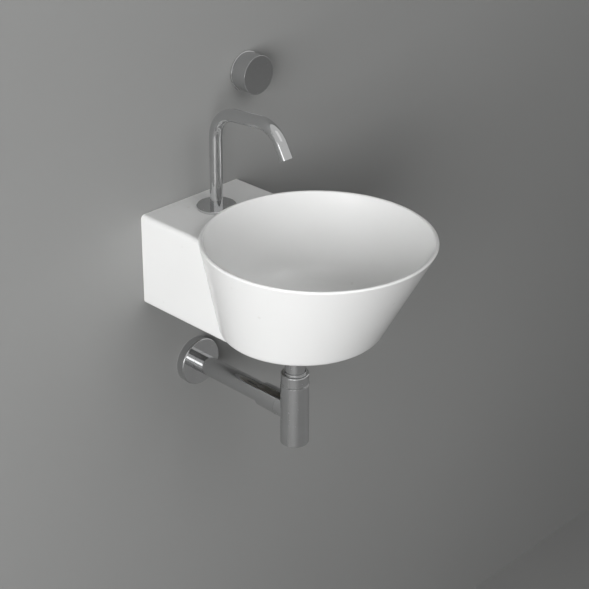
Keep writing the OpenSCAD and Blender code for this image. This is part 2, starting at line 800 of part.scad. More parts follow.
module spout_foot() {
    color([0.78, 0.66, 0.36]) on_deck() translate([0, 0, foot_bottom_z - deck_z]) difference() {
        union() {
            cylinder(h = foot_len, r = tube_r);
            cylinder(h = foot_len + spigot_len, r = tube_in_r - fit_gap);
        }
        translate([0, 0, -past]) cylinder(h = foot_len + spigot_len + 2 * past, d = foot_bore);
        for (i = [0, 1]) translate([0, 0, foot_len - upper_ring_depth - i * ring_pitch - ring_groove_w / 2])
            ring(tube_r + past, ring_groove_r, ring_groove_w);
        translate([0, 0, snap_rise - thread_gap])
            ring(tube_r + past, snap_in_r - thread_gap, snap_t + 2 * thread_gap);
    }
}

module spout_o_rings() {
    color([0.15, 0.15, 0.16]) on_deck()
        for (i = [0, 1]) translate([0, 0, foot_top_z - deck_z - upper_ring_depth - i * ring_pitch])
            rotate_extrude() translate([tube_r + fit_gap / 2 - o_ring_t / 2, 0]) circle(d = o_ring_t);
}

module spout_snap_ring() {
    color("silver") on_deck() translate([0, 0, snap_z - deck_z])
        rotate_extrude(angle = 325) translate([snap_in_r, 0]) square([snap_out_r - snap_in_r, snap_t]);
}

module aerator_housing() {
    color([0.75, 0.77, 0.79]) in_nozzle() translate([0, 0, aerator_inset]) difference() {
        cylinder(h = nozzle_depth - aerator_inset - aerator_seal_t, d = nozzle_bore - 2 * thread_gap);
        translate([0, 0, screen_lip_t])
            cylinder(h = nozzle_depth, r = nozzle_bore / 2 - thread_gap - aerator_wall);
        translate([0, 0, -past])
            cylinder(h = screen_lip_t + 2 * past, r = nozzle_bore / 2 - aerator_wall - screen_lip_w);
    }
}

insert_r = nozzle_bore / 2 - thread_gap - aerator_wall - fit_gap;
screen_z = aerator_inset + screen_lip_t;

module aerator_screen() {
    pitch = screen_cell + screen_bar;
    color([0.55, 0.56, 0.58]) in_nozzle() translate([0, 0, screen_z]) difference() {
        cylinder(h = screen_t, r = insert_r);
        for (x = [-1:1]) for (y = [-1:1]) translate([x * pitch, y * pitch, screen_t / 2])
            cube([screen_cell, screen_cell, screen_t + 2 * past], center = true);
    }
}

module aerator_insert() {
    insert_h = nozzle_depth - aerator_seal_t - screen_z - screen_t;
    jets = 8;
    jet_out = insert_r * 0.65;
    color("whitesmoke") in_nozzle() translate([0, 0, screen_z + screen_t]) difference() {
        cylinder(h = insert_h, r = insert_r);
        for (i = [0:jets - 1]) rotate([0, 0, i * 360 / jets]) translate([jet_out, 0, -past])
            cylinder(h = insert_h + 2 * past, d = jet_d);
    }
}

module aerator_seal() {
    color([0.15, 0.15, 0.16]) in_nozzle() translate([0, 0, nozzle_depth - aerator_seal_t])
        ring(nozzle_bore / 2 - thread_gap, nozzle_bore / 2 - thread_gap - 2 * aerator_wall, aerator_seal_t);
}

// The knob and the valve in the wall

// Puts what is drawn round the z axis on the knob's axis, with z measured out of the wall
module on_knob() {
    out_of_wall(knob_x, knob_z) children();
}

module knob() {
    knob_r = knob_d / 2;
    color([0.75, 0.77, 0.79]) on_knob() difference() {
        rotate_extrude() rounded(
            [[0, knob_back], [knob_r, knob_back], [knob_r, knob_front], [0, knob_front]],
            [0, knob_back_round, knob_front_round, 0]);
        difference() {
            translate([0, 0, knob_back - past])
                cylinder(h = hub_end - knob_back + past, r = knob_r - knob_side_t);
            translate([0, 0, hub_back]) cylinder(h = hub_end - hub_back + past, d = hub_d);
        }
        translate([0, 0, hub_back - past])
            cylinder(h = hub_end - hub_back, r = adapter_d / 2 + fit_gap);
        translate([0, 0, grub_out]) rotate([90, 0, 0]) cylinder(h = hub_d, r = grub_d / 2 + thread_gap);
        translate([0, 0, grub_out]) rotate([90, 0, 0]) translate([0, 0, knob_r - knob_side_t - past])
            cylinder(h = knob_side_t + 2 * past, r = grub_d / 2 + loose_gap);
    }
}

module knob_adapter() {
    adapter_len = hub_end - past - hub_back;
    color("whitesmoke") on_knob() translate([0, 0, hub_back]) difference() {
        cylinder(h = adapter_len, d = adapter_d);
        difference() {
            translate([0, 0, -past]) cylinder(h = spindle_out - hub_back + past + fit_gap,
                r = spindle_r + fit_gap);
            translate([spindle_r - spindle_flat + fit_gap, -spindle_d, -2 * past])
                cube([spindle_d, 2 * spindle_d, adapter_len]);
        }
    }
}

module knob_grub_screw() {
    grub_len = (hub_d - adapter_d) / 2 - 2 * fit_gap;
    socket = grub_d / 2;
    color("dimgray") on_knob() translate([0, 0, grub_out]) rotate([90, 0, 0])
        translate([0, 0, adapter_d / 2 + 2 * fit_gap]) difference() {
            cylinder(h = grub_len, d = grub_d);
            translate([0, 0, grub_len - socket / 2]) cylinder(h = socket, d = socket, $fn = 6);
        }
}

module knob_plate() {
    plate_r = plate_d / 2;
    color([0.75, 0.77, 0.79]) on_knob() difference() {
        rotate_extrude() polygon([[0, 0], [plate_r, 0], [plate_r, plate_t - plate_bevel],
            [plate_r - plate_bevel, plate_t], [0, plate_t]]);
        translate([0, 0, -past]) cylinder(h = plate_t + 2 * past, r = collar_d / 2 + loose_gap);
    }
}

// Puts what stands on z = 0 on a port's axis, so deep behind the wall's face: one looks down, one left
module at_port(depth, is_inlet) {
    on_knob() translate([0, 0, -depth]) rotate([90, 0, is_inlet ? 0 : -90]) children();
}

inlet_depth = cartridge_depth + seat_seal_t + inlet_behind;

module valve_body() {
    seat_depth = cartridge_depth + seat_seal_t;
    color([0.78, 0.66, 0.36]) difference() {
        union() {
            on_knob() translate([0, 0, -cartridge_depth / 2])
                cylinder(h = cartridge_depth / 2 + collar_out, d = collar_d);
            on_knob() translate([0, 0, -valve_depth]) cylinder(h = valve_depth - past, d = barrel_d);
            at_port(inlet_depth, true) cylinder(h = port_reach, d = port_d);
            at_port(window_depth, false) cylinder(h = port_reach, d = port_d);
        }
        on_knob() translate([0, 0, -seat_depth])
            cylinder(h = seat_depth + collar_out + past, r = cartridge_d / 2 + fit_gap);
        on_knob() translate([0, 0, -inlet_depth]) cylinder(h = inlet_depth - cartridge_depth, d = passage_d);
        at_port(inlet_depth, true) cylinder(h = port_reach, d = passage_d);
        at_port(window_depth, false) cylinder(h = port_reach, d = passage_d);
        at_port(inlet_depth, true) translate([0, 0, port_reach - port_thread_len])
            cylinder(h = port_thread_len + past, d = port_thread_d);
        at_port(window_depth, false) translate([0, 0, port_reach - port_thread_len])
            cylinder(h = port_thread_len + past, d = port_thread_d);
    }
}

module cartridge_body() {
    window_d = spindle_head;
    chamber_top = spindle_in - spindle_head - past;
    color([0.78, 0.66, 0.36]) on_knob() difference() {
        union() {
            translate([0, 0, -cartridge_depth]) cylinder(h = cartridge_depth + collar_out, d = cartridge_d);
            translate([0, 0, collar_out]) cylinder(h = cartridge_head_h,
                r = cartridge_head_w / 2 / cos(30), $fn = 6);
        }
        translate([0, 0, -cartridge_depth])
            cylinder(h = cartridge_depth + knob_back + cartridge_head_h, r = spindle_r + fit_gap);
        translate([0, 0, -cartridge_depth - past]) cylinder(h = cartridge_depth + past - chamber_top,
            r = chamber_r);
        translate([0, 0, -window_depth]) rotate([0, 90, 0]) cylinder(h = 2 * cartridge_d, d = window_d,
            center = true);
    }
}

module valve_spindle() {
    color([0.78, 0.66, 0.36]) on_knob() difference() {
        union() {
            translate([0, 0, -spindle_in]) cylinder(h = spindle_in + spindle_out, r = spindle_r);
            translate([0, 0, -spindle_in]) cylinder(h = spindle_head, r = spindle_r + spindle_collar);
        }
        translate([spindle_r - spindle_flat, -spindle_d, hub_back]) cube([spindle_d, 2 * spindle_d, knob_len]);
        translate([0, 0, -stem_ring_depth - stem_groove_w / 2])
            ring(spindle_r + past, spindle_r - stem_ring_t, stem_groove_w);
    }
}

module spindle_o_ring() {
    color([0.15, 0.15, 0.16]) on_knob() translate([0, 0, -stem_ring_depth]) rotate_extrude()
        translate([spindle_r + fit_gap / 2 - stem_ring_t / 2, 0]) circle(d = stem_ring_t);
}

// A ceramic disc with two ports through it
module disc(depth) {
    port_r = disc_r / 2;
    on_knob() translate([0, 0, -depth]) difference() {
        cylinder(h = disc_t, r = disc_r);
        for (side = [-1, 1]) translate([0, side * port_r, -past]) cylinder(h = disc_t + 2 * past, d = disc_port_d);
    }
}

module turning_disc() {
    color("white") disc(cartridge_depth - disc_t);
}

module fixed_disc() {
    color("white") disc(cartridge_depth);
}

module seat_seal() {
    color([0.15, 0.15, 0.16]) on_knob() translate([0, 0, -cartridge_depth - seat_seal_t])
        ring(cartridge_d / 2 - loose_gap, cartridge_d / 4, seat_seal_t);
}

// The waste

module waste_body() {
    flange_r = waste_flange_d / 2;
    color([0.75, 0.77, 0.79]) on_waste(0) {
        difference() {
            union() {
                translate([0, 0, waste_flange_z]) cylinder(h = waste_flange_t, r = flange_r);
                translate([0, 0, tail_z]) cylinder(h = tail_len + past, r = tail_r);
            }
            translate([0, 0, tail_z - past]) cylinder(h = tail_len + waste_flange_t + 2 * past, d = tail_bore);
            translate([0, 0, waste_top_z - waste_mouth]) cylinder(h = waste_mouth + past,
                r1 = tail_bore / 2, r2 = tail_bore / 2 + waste_mouth + past);
        }
        translate([0, 0, hub_top_z - spider_h]) difference() {
            union() {
                cylinder(h = spider_h, r = stem_hub_r);
                intersection() {
                    for (turn = [0, 90]) rotate([0, 0, turn + 45])
                        translate([-flange_r, -spider_arm / 2, 0]) cube([2 * flange_r, spider_arm, spider_h]);
                    cylinder(h = spider_h, r = tail_bore / 2 + past);
                }
            }
            translate([0, 0, -past]) cylinder(h = spider_h + 2 * past, r = stem_d / 2 + thread_gap);
        }
    }
}

module waste_cover() {
    cover_r = cover_d / 2;
    dome_r = (cover_r * cover_r + cover_dome * cover_dome) / 2 / cover_dome;
    color([0.75, 0.77, 0.79]) on_waste(0) {
        rotate_extrude() intersection() {
            translate([0, cover_z]) square([cover_r, cover_edge_t + cover_dome]);
            translate([0, cover_z + cover_edge_t + cover_dome - dome_r]) circle(r = dome_r, $fn = 360);
        }
        translate([0, 0, hub_top_z]) cylinder(h = cover_z - hub_top_z + past, r = stem_d / 2 + cover_shoulder);
        translate([0, 0, hub_top_z - stem_len]) cylinder(h = stem_len + past, d = stem_d);
    }
}

module waste_upper_gasket() {
    color([0.15, 0.15, 0.16]) on_waste(seat_z) ring(waste_flange_d / 2 - upper_gasket_inset,
        tail_r + loose_gap, upper_gasket_t);
}

module waste_lower_gasket() {
    color([0.15, 0.15, 0.16]) on_waste(bowl_z - lower_gasket_t)
        ring(lower_gasket_d / 2, tail_r + loose_gap, lower_gasket_t);
}

module waste_locknut() {
    color([0.78, 0.66, 0.36]) on_waste(bowl_z - lower_gasket_t - waste_nut_h)
        hex_nut(waste_nut_w, tail_r + thread_gap, waste_nut_h);
}

// The trap

module union_nut() {
    union_z = collar_z - union_lip_t;
    union_len = tail_z + union_grip - union_z;
    color([0.75, 0.77, 0.79]) on_waste(union_z) difference() {
        rotate_extrude() rounded([[0, 0], [union_d / 2, 0], [union_d / 2, union_len], [0, union_len]],
            [0, union_round, union_round, 0]);
        translate([0, 0, -past]) cylinder(h = union_len, r = pipe_r + thread_gap);
        translate([0, 0, union_lip_t]) cylinder(h = union_len, r = tail_r + thread_gap);
    }
}

module union_seal() {
    color([0.15, 0.15, 0.16]) on_waste(collar_top_z) ring(tail_r - thread_gap, pipe_in_r, union_seal_t);
}

module inlet_tube() {
    tube_z = body_floor_z + dip_gap;
    color([0.75, 0.77, 0.79]) on_waste(0) difference() {
        union() {
            translate([0, 0, tube_z]) cylinder(h = collar_top_z - tube_z, r = pipe_r);
            translate([0, 0, collar_z]) cylinder(h = pipe_collar_t, r = tail_r - thread_gap);
        }
        translate([0, 0, tube_z - past]) cylinder(h = collar_top_z - tube_z + 2 * past, r = pipe_in_r);
    }
}

module trap_cap() {
    color([0.75, 0.77, 0.79]) on_waste(cap_z) difference() {
        rotate_extrude() rounded([[0, 0], [trap_r, 0], [trap_r, cap_h], [0, cap_h]], [0, seam_round, cap_round, 0]);
        translate([0, 0, -past]) cylinder(h = cap_h + 2 * past, r = pipe_r + thread_gap);
        translate([0, 0, -past]) cylinder(h = cap_h - cap_top_t + past, r = neck_d / 2 + thread_gap);
    }
}

module trap_cap_seal() {
    color([0.15, 0.15, 0.16]) on_waste(neck_z) ring(neck_d / 2 - thread_gap, pipe_r + fit_gap, cap_seal_t);
}

// Puts what stands on z = 0 on the outlet's axis, so far out from the wall
module on_outlet(out) {
    translate([0, -out, 0]) out_of_wall(0, outlet_z) children();
}

module trap_body() {
    boss_r = outlet_nut_d / 2;
    color([0.75, 0.77, 0.79]) difference() {
        union() {
            on_waste(0) rotate_extrude() rounded(
                [[0, trap_z], [trap_r, trap_z], [trap_r, shoulder_z], [neck_d / 2, shoulder_z],
                    [neck_d / 2, neck_z], [0, neck_z]],
                [0, body_round, seam_round, 0, 0, 0]);
            on_outlet(boss_face) cylinder(h = boss_len, r = boss_r);
            on_outlet(socket_end) cylinder(h = boss_face - socket_end + past, d = socket_d);
        }
        on_waste(body_floor_z) cylinder(h = neck_z - body_floor_z + past, d = body_bore);
        on_waste(trap_z - past) cylinder(h = plug_seat_z - trap_z + past, r = plug_d / 2 + loose_gap);
        on_waste(trap_z) cylinder(h = body_floor_z - trap_z + past, r = plug_thread_d / 2 + thread_gap);
        on_outlet(socket_end - past) cylinder(h = pipe_stop - socket_end + past, r = pipe_r + thread_gap);
        on_outlet(pipe_stop - past) cylinder(h = waste_reach - pipe_stop + past, r = pipe_in_r);
    }
}

module trap_plug() {
    slot_len = plug_d * 2 / 3;
    color([0.75, 0.77, 0.79]) on_waste(trap_z) difference() {
        union() {
            cylinder(h = plug_t, d = plug_d);
            cylinder(h = body_floor_z - trap_z, d = plug_thread_d);
        }
        translate([-slot_len / 2, -slot_w / 2, -past]) cube([slot_len, slot_w, slot_depth + past]);
    }
}

module trap_plug_seal() {
    color([0.15, 0.15, 0.16]) on_waste(trap_z + plug_t)
        ring(plug_d / 2, plug_thread_d / 2 + fit_gap, plug_seal_t);
}

module outlet_nut() {
    color([0.75, 0.77, 0.79]) on_outlet(nut_front) difference() {
        cylinder(h = outlet_nut_len, r1 = outlet_nut_end_d / 2, r2 = outlet_nut_d / 2);
        translate([0, 0, -past]) cylinder(h = outlet_nut_len, r = pipe_r + thread_gap);
        translate([0, 0, outlet_lip_t]) cylinder(h = outlet_nut_len, r = socket_d / 2 + thread_gap);
    }
}

module outlet_seal() {
    color([0.15, 0.15, 0.16]) on_outlet(nut_front + outlet_lip_t)
        ring(socket_d / 2 - fit_gap, pipe_r + fit_gap, outlet_seal_t);
}

module outlet_tube() {
    tube_len = pipe_stop - past + pipe_in_wall;
    drawn_len = pipe_in_wall - spigot_start;
    color([0.75, 0.77, 0.79]) on_outlet(-pipe_in_wall) difference() {
        union() {
            cylinder(h = drawn_len + past, d = spigot_d);
            translate([0, 0, drawn_len]) cylinder(h = tube_len - drawn_len, r = pipe_r);
        }
        translate([0, 0, -past]) cylinder(h = tube_len + 2 * past, r = pipe_in_r);
    }
}

module wall_rosette() {
    rosette_r = rosette_d / 2;
    hub_r = pipe_r + rosette_hub_wall;
    color([0.75, 0.77, 0.79]) out_of_wall(0, outlet_z) difference() {
        rotate_extrude() rounded([[0, 0], [rosette_r, 0], [rosette_r, rosette_t], [0, rosette_t]],
            [0, 0, rosette_round, 0]);
        translate([0, 0, -past]) cylinder(h = rosette_t + 2 * past, r = pipe_r + loose_gap);
        difference() {
            translate([0, 0, -past]) cylinder(h = rosette_t - rosette_wall + past, r = rosette_r - rosette_wall);
            translate([0, 0, rosette_t / 4]) cylinder(h = rosette_t, r = hub_r);
        }
        translate([0, 0, rosette_ring_out - fit_gap])
            cylinder(h = rosette_ring_w + 2 * fit_gap, r = pipe_r + rosette_ring_depth + fit_gap);
    }
}

module rosette_ring() {
    color([0.15, 0.15, 0.16]) out_of_wall(0, outlet_z) translate([0, 0, rosette_ring_out])
        ring(pipe_r + rosette_ring_depth, pipe_r + fit_gap, rosette_ring_w);
}

basin();
fixing_studs();
fixing_sleeves();
fixing_washers();
fixing_nuts();
tap_flange();
tap_base_seal();
tap_shank();
tap_rubber_washer();
tap_metal_washer();
tap_locknut();
spout();
spout_foot();
spout_o_rings();
spout_snap_ring();
aerator_housing();
aerator_screen();
aerator_insert();
aerator_seal();
knob();
knob_adapter();
knob_grub_screw();
knob_plate();
valve_body();
cartridge_body();
valve_spindle();
spindle_o_ring();
turning_disc();
fixed_disc();
seat_seal();
waste_body();
waste_cover();
waste_upper_gasket();
waste_lower_gasket();
waste_locknut();
union_nut();
union_seal();
inlet_tube();
trap_cap();
trap_cap_seal();
trap_body();
trap_plug();
trap_plug_seal();
outlet_nut();
outlet_seal();
outlet_tube();
wall_rosette();
rosette_ring();
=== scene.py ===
# %% [markdown]
# # A washbasin on a wall, dressed in Blender
#
# The pieces of the basin come in from the drawing as a fixed frame: their shapes, places and joints
# are settled there. This lesson gives them their light, their camera and their finishes, and models
# anew the small threaded and turned pieces that a maker would look at closely.
#
# The frame is loaded first. Everything is in metres: X runs to the right, Y into the wall, Z up,
# and the wall's face is Y = 0.

# %% Load the frame
import bpy
import json
import math
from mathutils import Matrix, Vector


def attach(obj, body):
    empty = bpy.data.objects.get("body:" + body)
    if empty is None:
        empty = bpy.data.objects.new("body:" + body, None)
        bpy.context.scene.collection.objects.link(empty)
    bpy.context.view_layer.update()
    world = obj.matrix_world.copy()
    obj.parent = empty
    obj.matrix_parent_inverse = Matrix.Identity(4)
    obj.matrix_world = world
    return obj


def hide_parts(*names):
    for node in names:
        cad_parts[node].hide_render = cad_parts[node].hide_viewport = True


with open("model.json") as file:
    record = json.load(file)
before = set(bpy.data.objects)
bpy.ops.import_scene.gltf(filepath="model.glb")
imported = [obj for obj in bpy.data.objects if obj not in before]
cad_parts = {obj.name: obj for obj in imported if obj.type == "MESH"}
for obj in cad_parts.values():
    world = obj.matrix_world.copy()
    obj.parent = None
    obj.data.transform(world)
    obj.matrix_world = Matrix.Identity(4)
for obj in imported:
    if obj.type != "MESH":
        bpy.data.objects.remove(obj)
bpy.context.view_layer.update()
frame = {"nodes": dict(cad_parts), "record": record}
nodes = frame["nodes"]
scene = bpy.context.scene
scene.view_settings.view_transform = "Standard"
print("nodes in the frame:", len(nodes))

# %% [markdown]
# ## The camera
#
# The photograph was taken from the left, in front and above. Its edges give the camera exactly: the
# rim is a circle, the block is a box, and both have to fall on their own pixels. The lens is a long
# one, so the edges that run to the wall hardly converge.

# %% The camera
camera_place = Vector((-1.4953, -1.6744, 1.0337))
camera_tilt = (62.726, -0.441, -45.675)
camera_lens = 95.92

camera_data = bpy.data.cameras.new("view")
camera_data.sensor_width = 36.0
camera_data.lens = camera_lens
camera = bpy.data.objects.new("view", camera_data)
camera.location = camera_place
camera.rotation_euler = [math.radians(a) for a in camera_tilt]
scene.collection.objects.link(camera)
scene.camera = camera
print("camera stands", round(camera_place.length, 3), "m from the fixing")

# %% [markdown]
# ## Helpers for materials
#
# Every finish below is a tree of shader nodes. Four helpers keep the trees short to write: one
# adds a node and sets its values, one joins two sockets, one gives the place of a point in its
# object, and one starts a material whose Principled shader gets the values that are the same all
# over the surface.

# %% Helpers for node trees
def add_node(tree, kind, **values):
    """Adds a shader node; a value goes to the input of that name, or else to the node's setting."""
    node = tree.nodes.new(kind)
    for name, value in values.items():
        socket = node.inputs.get(name.replace("_", " "))
        if socket is not None and not hasattr(type(node), name):
            socket.default_value = value
        else:
            setattr(node, name, value)
    return node


def join(tree, start, end):
    """Links an output socket to an input socket."""
    tree.links.new(start, end)


def object_place(tree):
    """The place of a point in its object's own coordinates, where every pattern starts."""
    return add_node(tree, "ShaderNodeTexCoord").outputs["Object"]


def start_material(name, colour, **values):
    """A material whose shader has plain values, given by the names of its sockets.

    A socket that gets a pattern later keeps its plain value for a viewer that can't show patterns.
    """
    material = bpy.data.materials.new(name)
    material.use_nodes = True
    shader = material.node_tree.nodes["Principled BSDF"]
    shader.inputs["Base Color"].default_value = (*colour, 1.0)
    for socket, value in values.items():
        shader.inputs[socket.replace("_", " ")].default_value = value
    return material, material.node_tree, shader


# %% [markdown]
# ## Effects that several finishes share
#
# A surface is never quite even. Plated metal has faint smears that change its gloss, a turned piece
# has fine grooves round its axis, glaze and paint have a slight ripple, and splashes leave specks.
# Each of these effects is a node group, built once and then placed in every material that needs
# it. A group gives out only masks and heights, so each material decides what to do with them.

# %% Groups for uneven surfaces
def start_group(name, inputs, outputs):
    """An empty shader group whose inputs carry their own starting values."""
    group = bpy.data.node_groups.new(name, "ShaderNodeTree")
    group.interface.new_socket("Vector", in_out="INPUT", socket_type="NodeSocketVector")
    for label, value in inputs.items():
        socket = group.interface.new_socket(label, in_out="INPUT", socket_type="NodeSocketFloat")
        socket.default_value = value
    for label in outputs:
        group.interface.new_socket(label, in_out="OUTPUT", socket_type="NodeSocketFloat")
    return group, group.nodes.new("NodeGroupInput"), group.nodes.new("NodeGroupOutput")


def noise_group(name, detail, roughness, low, high):
    """A group that turns noise at a given scale into a mask between 0 and 1."""
    group, given, result = start_group(name, {"Scale": 20.0}, ["Mask"])
    noise = add_node(group, "ShaderNodeTexNoise", Detail=detail, Roughness=roughness)
    spread = add_node(group, "ShaderNodeMapRange")
    spread.inputs["From Min"].default_value = low
    spread.inputs["From Max"].default_value = high
    join(group, given.outputs["Vector"], noise.inputs["Vector"])
    join(group, given.outputs["Scale"], noise.inputs["Scale"])
    join(group, noise.outputs["Fac"], spread.inputs["Value"])
    join(group, spread.outputs["Result"], result.inputs["Mask"])
    return group


ripple = noise_group("surface_ripple", detail=2.0, roughness=0.45, low=0.25, high=0.75)
smears = noise_group("handling_smears", detail=5.0, roughness=0.62, low=0.42, high=0.72)
print("groups so far:", [g.name for g in bpy.data.node_groups])

# %% Group for dried specks
# A cell pattern gives each cell a round spot, and the cell's own colour leaves most of them out.
spot_edge, spot_core = 0.30, 0.16

specks, given, result = start_group("dried_specks", {"Scale": 260.0, "Share": 0.2}, ["Mask"])
cells = add_node(specks, "ShaderNodeTexVoronoi", Randomness=1.0)
spot = add_node(specks, "ShaderNodeMapRange")
spot.inputs["From Min"].default_value = spot_edge
spot.inputs["From Max"].default_value = spot_core
pick = add_node(specks, "ShaderNodeSeparateColor")
few = add_node(specks, "ShaderNodeMath", operation="LESS_THAN")
both = add_node(specks, "ShaderNodeMath", operation="MULTIPLY")
join(specks, given.outputs["Vector"], cells.inputs["Vector"])
join(specks, given.outputs["Scale"], cells.inputs["Scale"])
join(specks, cells.outputs["Distance"], spot.inputs["Value"])
join(specks, cells.outputs["Color"], pick.inputs["Color"])
join(specks, pick.outputs["Red"], few.inputs[0])
join(specks, given.outputs["Share"], few.inputs[1])
join(specks, spot.outputs["Result"], both.inputs[0])
join(specks, few.outputs["Value"], both.inputs[1])
join(specks, both.outputs["Value"], result.inputs["Mask"])

# %% Group for turning marks
# Grooves round the axis: bands along Z on the piece's side, rings round Z on its ends.
turning, given, result = start_group("turning_marks", {"Scale": 900.0}, ["Height"])
bands = add_node(turning, "ShaderNodeTexWave", wave_type="BANDS", bands_direction="Z",
                 wave_profile="SIN")
rings = add_node(turning, "ShaderNodeTexWave", wave_type="RINGS", rings_direction="Z",
                 wave_profile="SIN")
sum_up = add_node(turning, "ShaderNodeMath", operation="ADD")
for wave in (bands, rings):
    wave.inputs["Distortion"].default_value = 1.5
    wave.inputs["Detail"].default_value = 2.0
    wave.inputs["Detail Scale"].default_value = 0.4
    join(turning, given.outputs["Vector"], wave.inputs["Vector"])
    join(turning, given.outputs["Scale"], wave.inputs["Scale"])
join(turning, bands.outputs["Fac"], sum_up.inputs[0])
join(turning, rings.outputs["Fac"], sum_up.inputs[1])
join(turning, sum_up.outputs["Value"], result.inputs["Height"])


def place_group(tree, group, vector, **values):
    """Puts a group into a material, feeds it a place and sets its values."""
    node = tree.nodes.new("ShaderNodeGroup")
    node.node_tree = group
    join(tree, vector, node.inputs["Vector"])
    for label, value in values.items():
        node.inputs[label].default_value = value
    return node


def vary(tree, mask, low, high):
    """Turns a mask between 0 and 1 into a value between low and high."""
    span = add_node(tree, "ShaderNodeMapRange")
    span.inputs["To Min"].default_value = low
    span.inputs["To Max"].default_value = high
    join(tree, mask, span.inputs["Value"])
    return span.outputs["Result"]


def blend_colours(tree, mask, first, second):
    """Blends two colours by a mask."""
    mix = add_node(tree, "ShaderNodeMix", data_type="RGBA")
    mix.inputs["A"].default_value = (*first, 1.0)
    mix.inputs["B"].default_value = (*second, 1.0)
    join(tree, mask, mix.inputs["Factor"])
    return mix.outputs["Result"]


def bump(tree, shader, height, distance, strength=1.0, under=None):
    """Lets a height feed the shader's normal, over another bump if one is given."""
    node = add_node(tree, "ShaderNodeBump", Strength=strength, Distance=distance)
    join(tree, height, node.inputs["Height"])
    if under is not None:
        join(tree, under, node.inputs["Normal"])
    join(tree, node.outputs["Normal"], shader.inputs["Normal"])
    return node.outputs["Normal"]


# %% [markdown]
# ## The wall and the floor
#
# A plain grey wall carries the basin, and a plain floor lies below it. Each is one sheet that can
# be seen only from the room: from behind it is clear, so that the studs and the valve that sit
# inside a real wall can be looked at, and the underside of the basin too. What lies flat on the
# wall meets it within a millimetre; the paint lets such short rays through as well, so that the
# basin's back takes the light of a lamp behind the wall and doesn't turn black.

# %% A plain painted finish for the stage
wall_colour = (0.310, 0.312, 0.308)
floor_colour = (0.284, 0.284, 0.281)
paint_mottle = 0.03


def painted_finish(name, colour, roughness):
    """A matt paint with a faint roll of light and dark, for a wall or a floor."""
    material, tree, shader = start_material(name, colour, Roughness=roughness,
                                            Specular_IOR_Level=0.2)
    place = object_place(tree)
    roll = place_group(tree, ripple, place, Scale=1.2)
    darker = [(1 - paint_mottle) * c for c in colour]
    lighter = [(1 + paint_mottle) * c for c in colour]
    tone = blend_colours(tree, roll.outputs["Mask"], darker, lighter)
    join(tree, tone, shader.inputs["Base Color"])
    return material


wall_paint = painted_finish("wall_paint", wall_colour, roughness=0.85)
floor_paint = painted_finish("floor_paint", floor_colour, roughness=0.8)

# %% Make the backs of the wall and the floor clear
contact = 0.0008


def clear_from_behind(material):
    """Mixes a clear shader in where a face is seen from its back, and right at what touches it."""
    tree = material.node_tree
    facing = tree.nodes.new("ShaderNodeNewGeometry")
    ray = tree.nodes.new("ShaderNodeLightPath")
    touching = add_node(tree, "ShaderNodeMath", operation="LESS_THAN")
    touching.inputs[1].default_value = contact
    hidden = add_node(tree, "ShaderNodeMath", operation="MAXIMUM")
    clear = tree.nodes.new("ShaderNodeBsdfTransparent")
    either = tree.nodes.new("ShaderNodeMixShader")
    join(tree, ray.outputs["Ray Length"], touching.inputs[0])
    join(tree, facing.outputs["Backfacing"], hidden.inputs[0])
    join(tree, touching.outputs["Value"], hidden.inputs[1])
    join(tree, hidden.outputs["Value"], either.inputs["Fac"])
    join(tree, tree.nodes["Principled BSDF"].outputs["BSDF"], either.inputs[1])
    join(tree, clear.outputs["BSDF"], either.inputs[2])
    join(tree, either.outputs["Shader"], tree.nodes["Material Output"].inputs["Surface"])


clear_from_behind(wall_paint)
clear_from_behind(floor_paint)

# %% Stand the wall and lay the floor
floor_level = -1.163
stage_width = 9.0
stage_middle = 0.4
wall_height = 5.0
wall_gap = 0.0003
floor_depth = 6.0
floor_middle = -2.9
upright = (math.radians(90), 0.0, 0.0)


def stage_sheet(name, size, place, turn, material):
    """A flat sheet of the stage, made as a plane."""
    bpy.ops.object.select_all(action="DESELECT")
    bpy.ops.mesh.primitive_plane_add(size=1.0, location=place, rotation=turn)
    sheet = bpy.context.object
    sheet.name = name
    sheet.scale = (size[0], size[1], 1.0)
    bpy.ops.object.transform_apply(location=True, rotation=True, scale=True)
    sheet.data.materials.append(material)


stage_sheet("wall", (stage_width, wall_height),
            (stage_middle, wall_gap, floor_level + wall_height / 2), upright, wall_paint)
stage_sheet("floor", (stage_width, floor_depth),
            (stage_middle, floor_middle, floor_level), (0.0, 0.0, 0.0), floor_paint)
print("floor lies", -floor_level, "m below the fixing")

# %% [markdown]
# ## The light
#
# The photograph's light comes low from the left and the front, wide and soft, so the bowl throws a
# soft shadow on the wall to its right and its deck stays greyer than its sides. One large lamp does
# this. The lamps' powers were fitted, one lamp at a time, to the tones of the photograph's
# surfaces, and three weak fills make up what the large lamp alone leaves too dark: one close to the
# wall on the left, one above the front and one on the right. A last lamp stands behind the wall,
# for views from the back.
#
# Chrome shows the room it stands in, and a lamp that is bright enough to light a room burns a white
# hole in it. A studio photographer hides the lamps and stands pale cards where the metal looks. The
# same is done here: the lamps stay out of all mirrors. A card far to the left gives the nozzle its
# one bright stripe, another further forward shows twice mirrored, in the outlet tube beside its
# rosette, and a wide one overhead draws the fine lines on rounded edges. Mirror rays and the camera
# also meet a pale studio all round, which Light Path's ray kinds pick out in the world and in the
# floor's paint.

# %% The lamps
aim_point = (0.0, -0.2, 0.0)


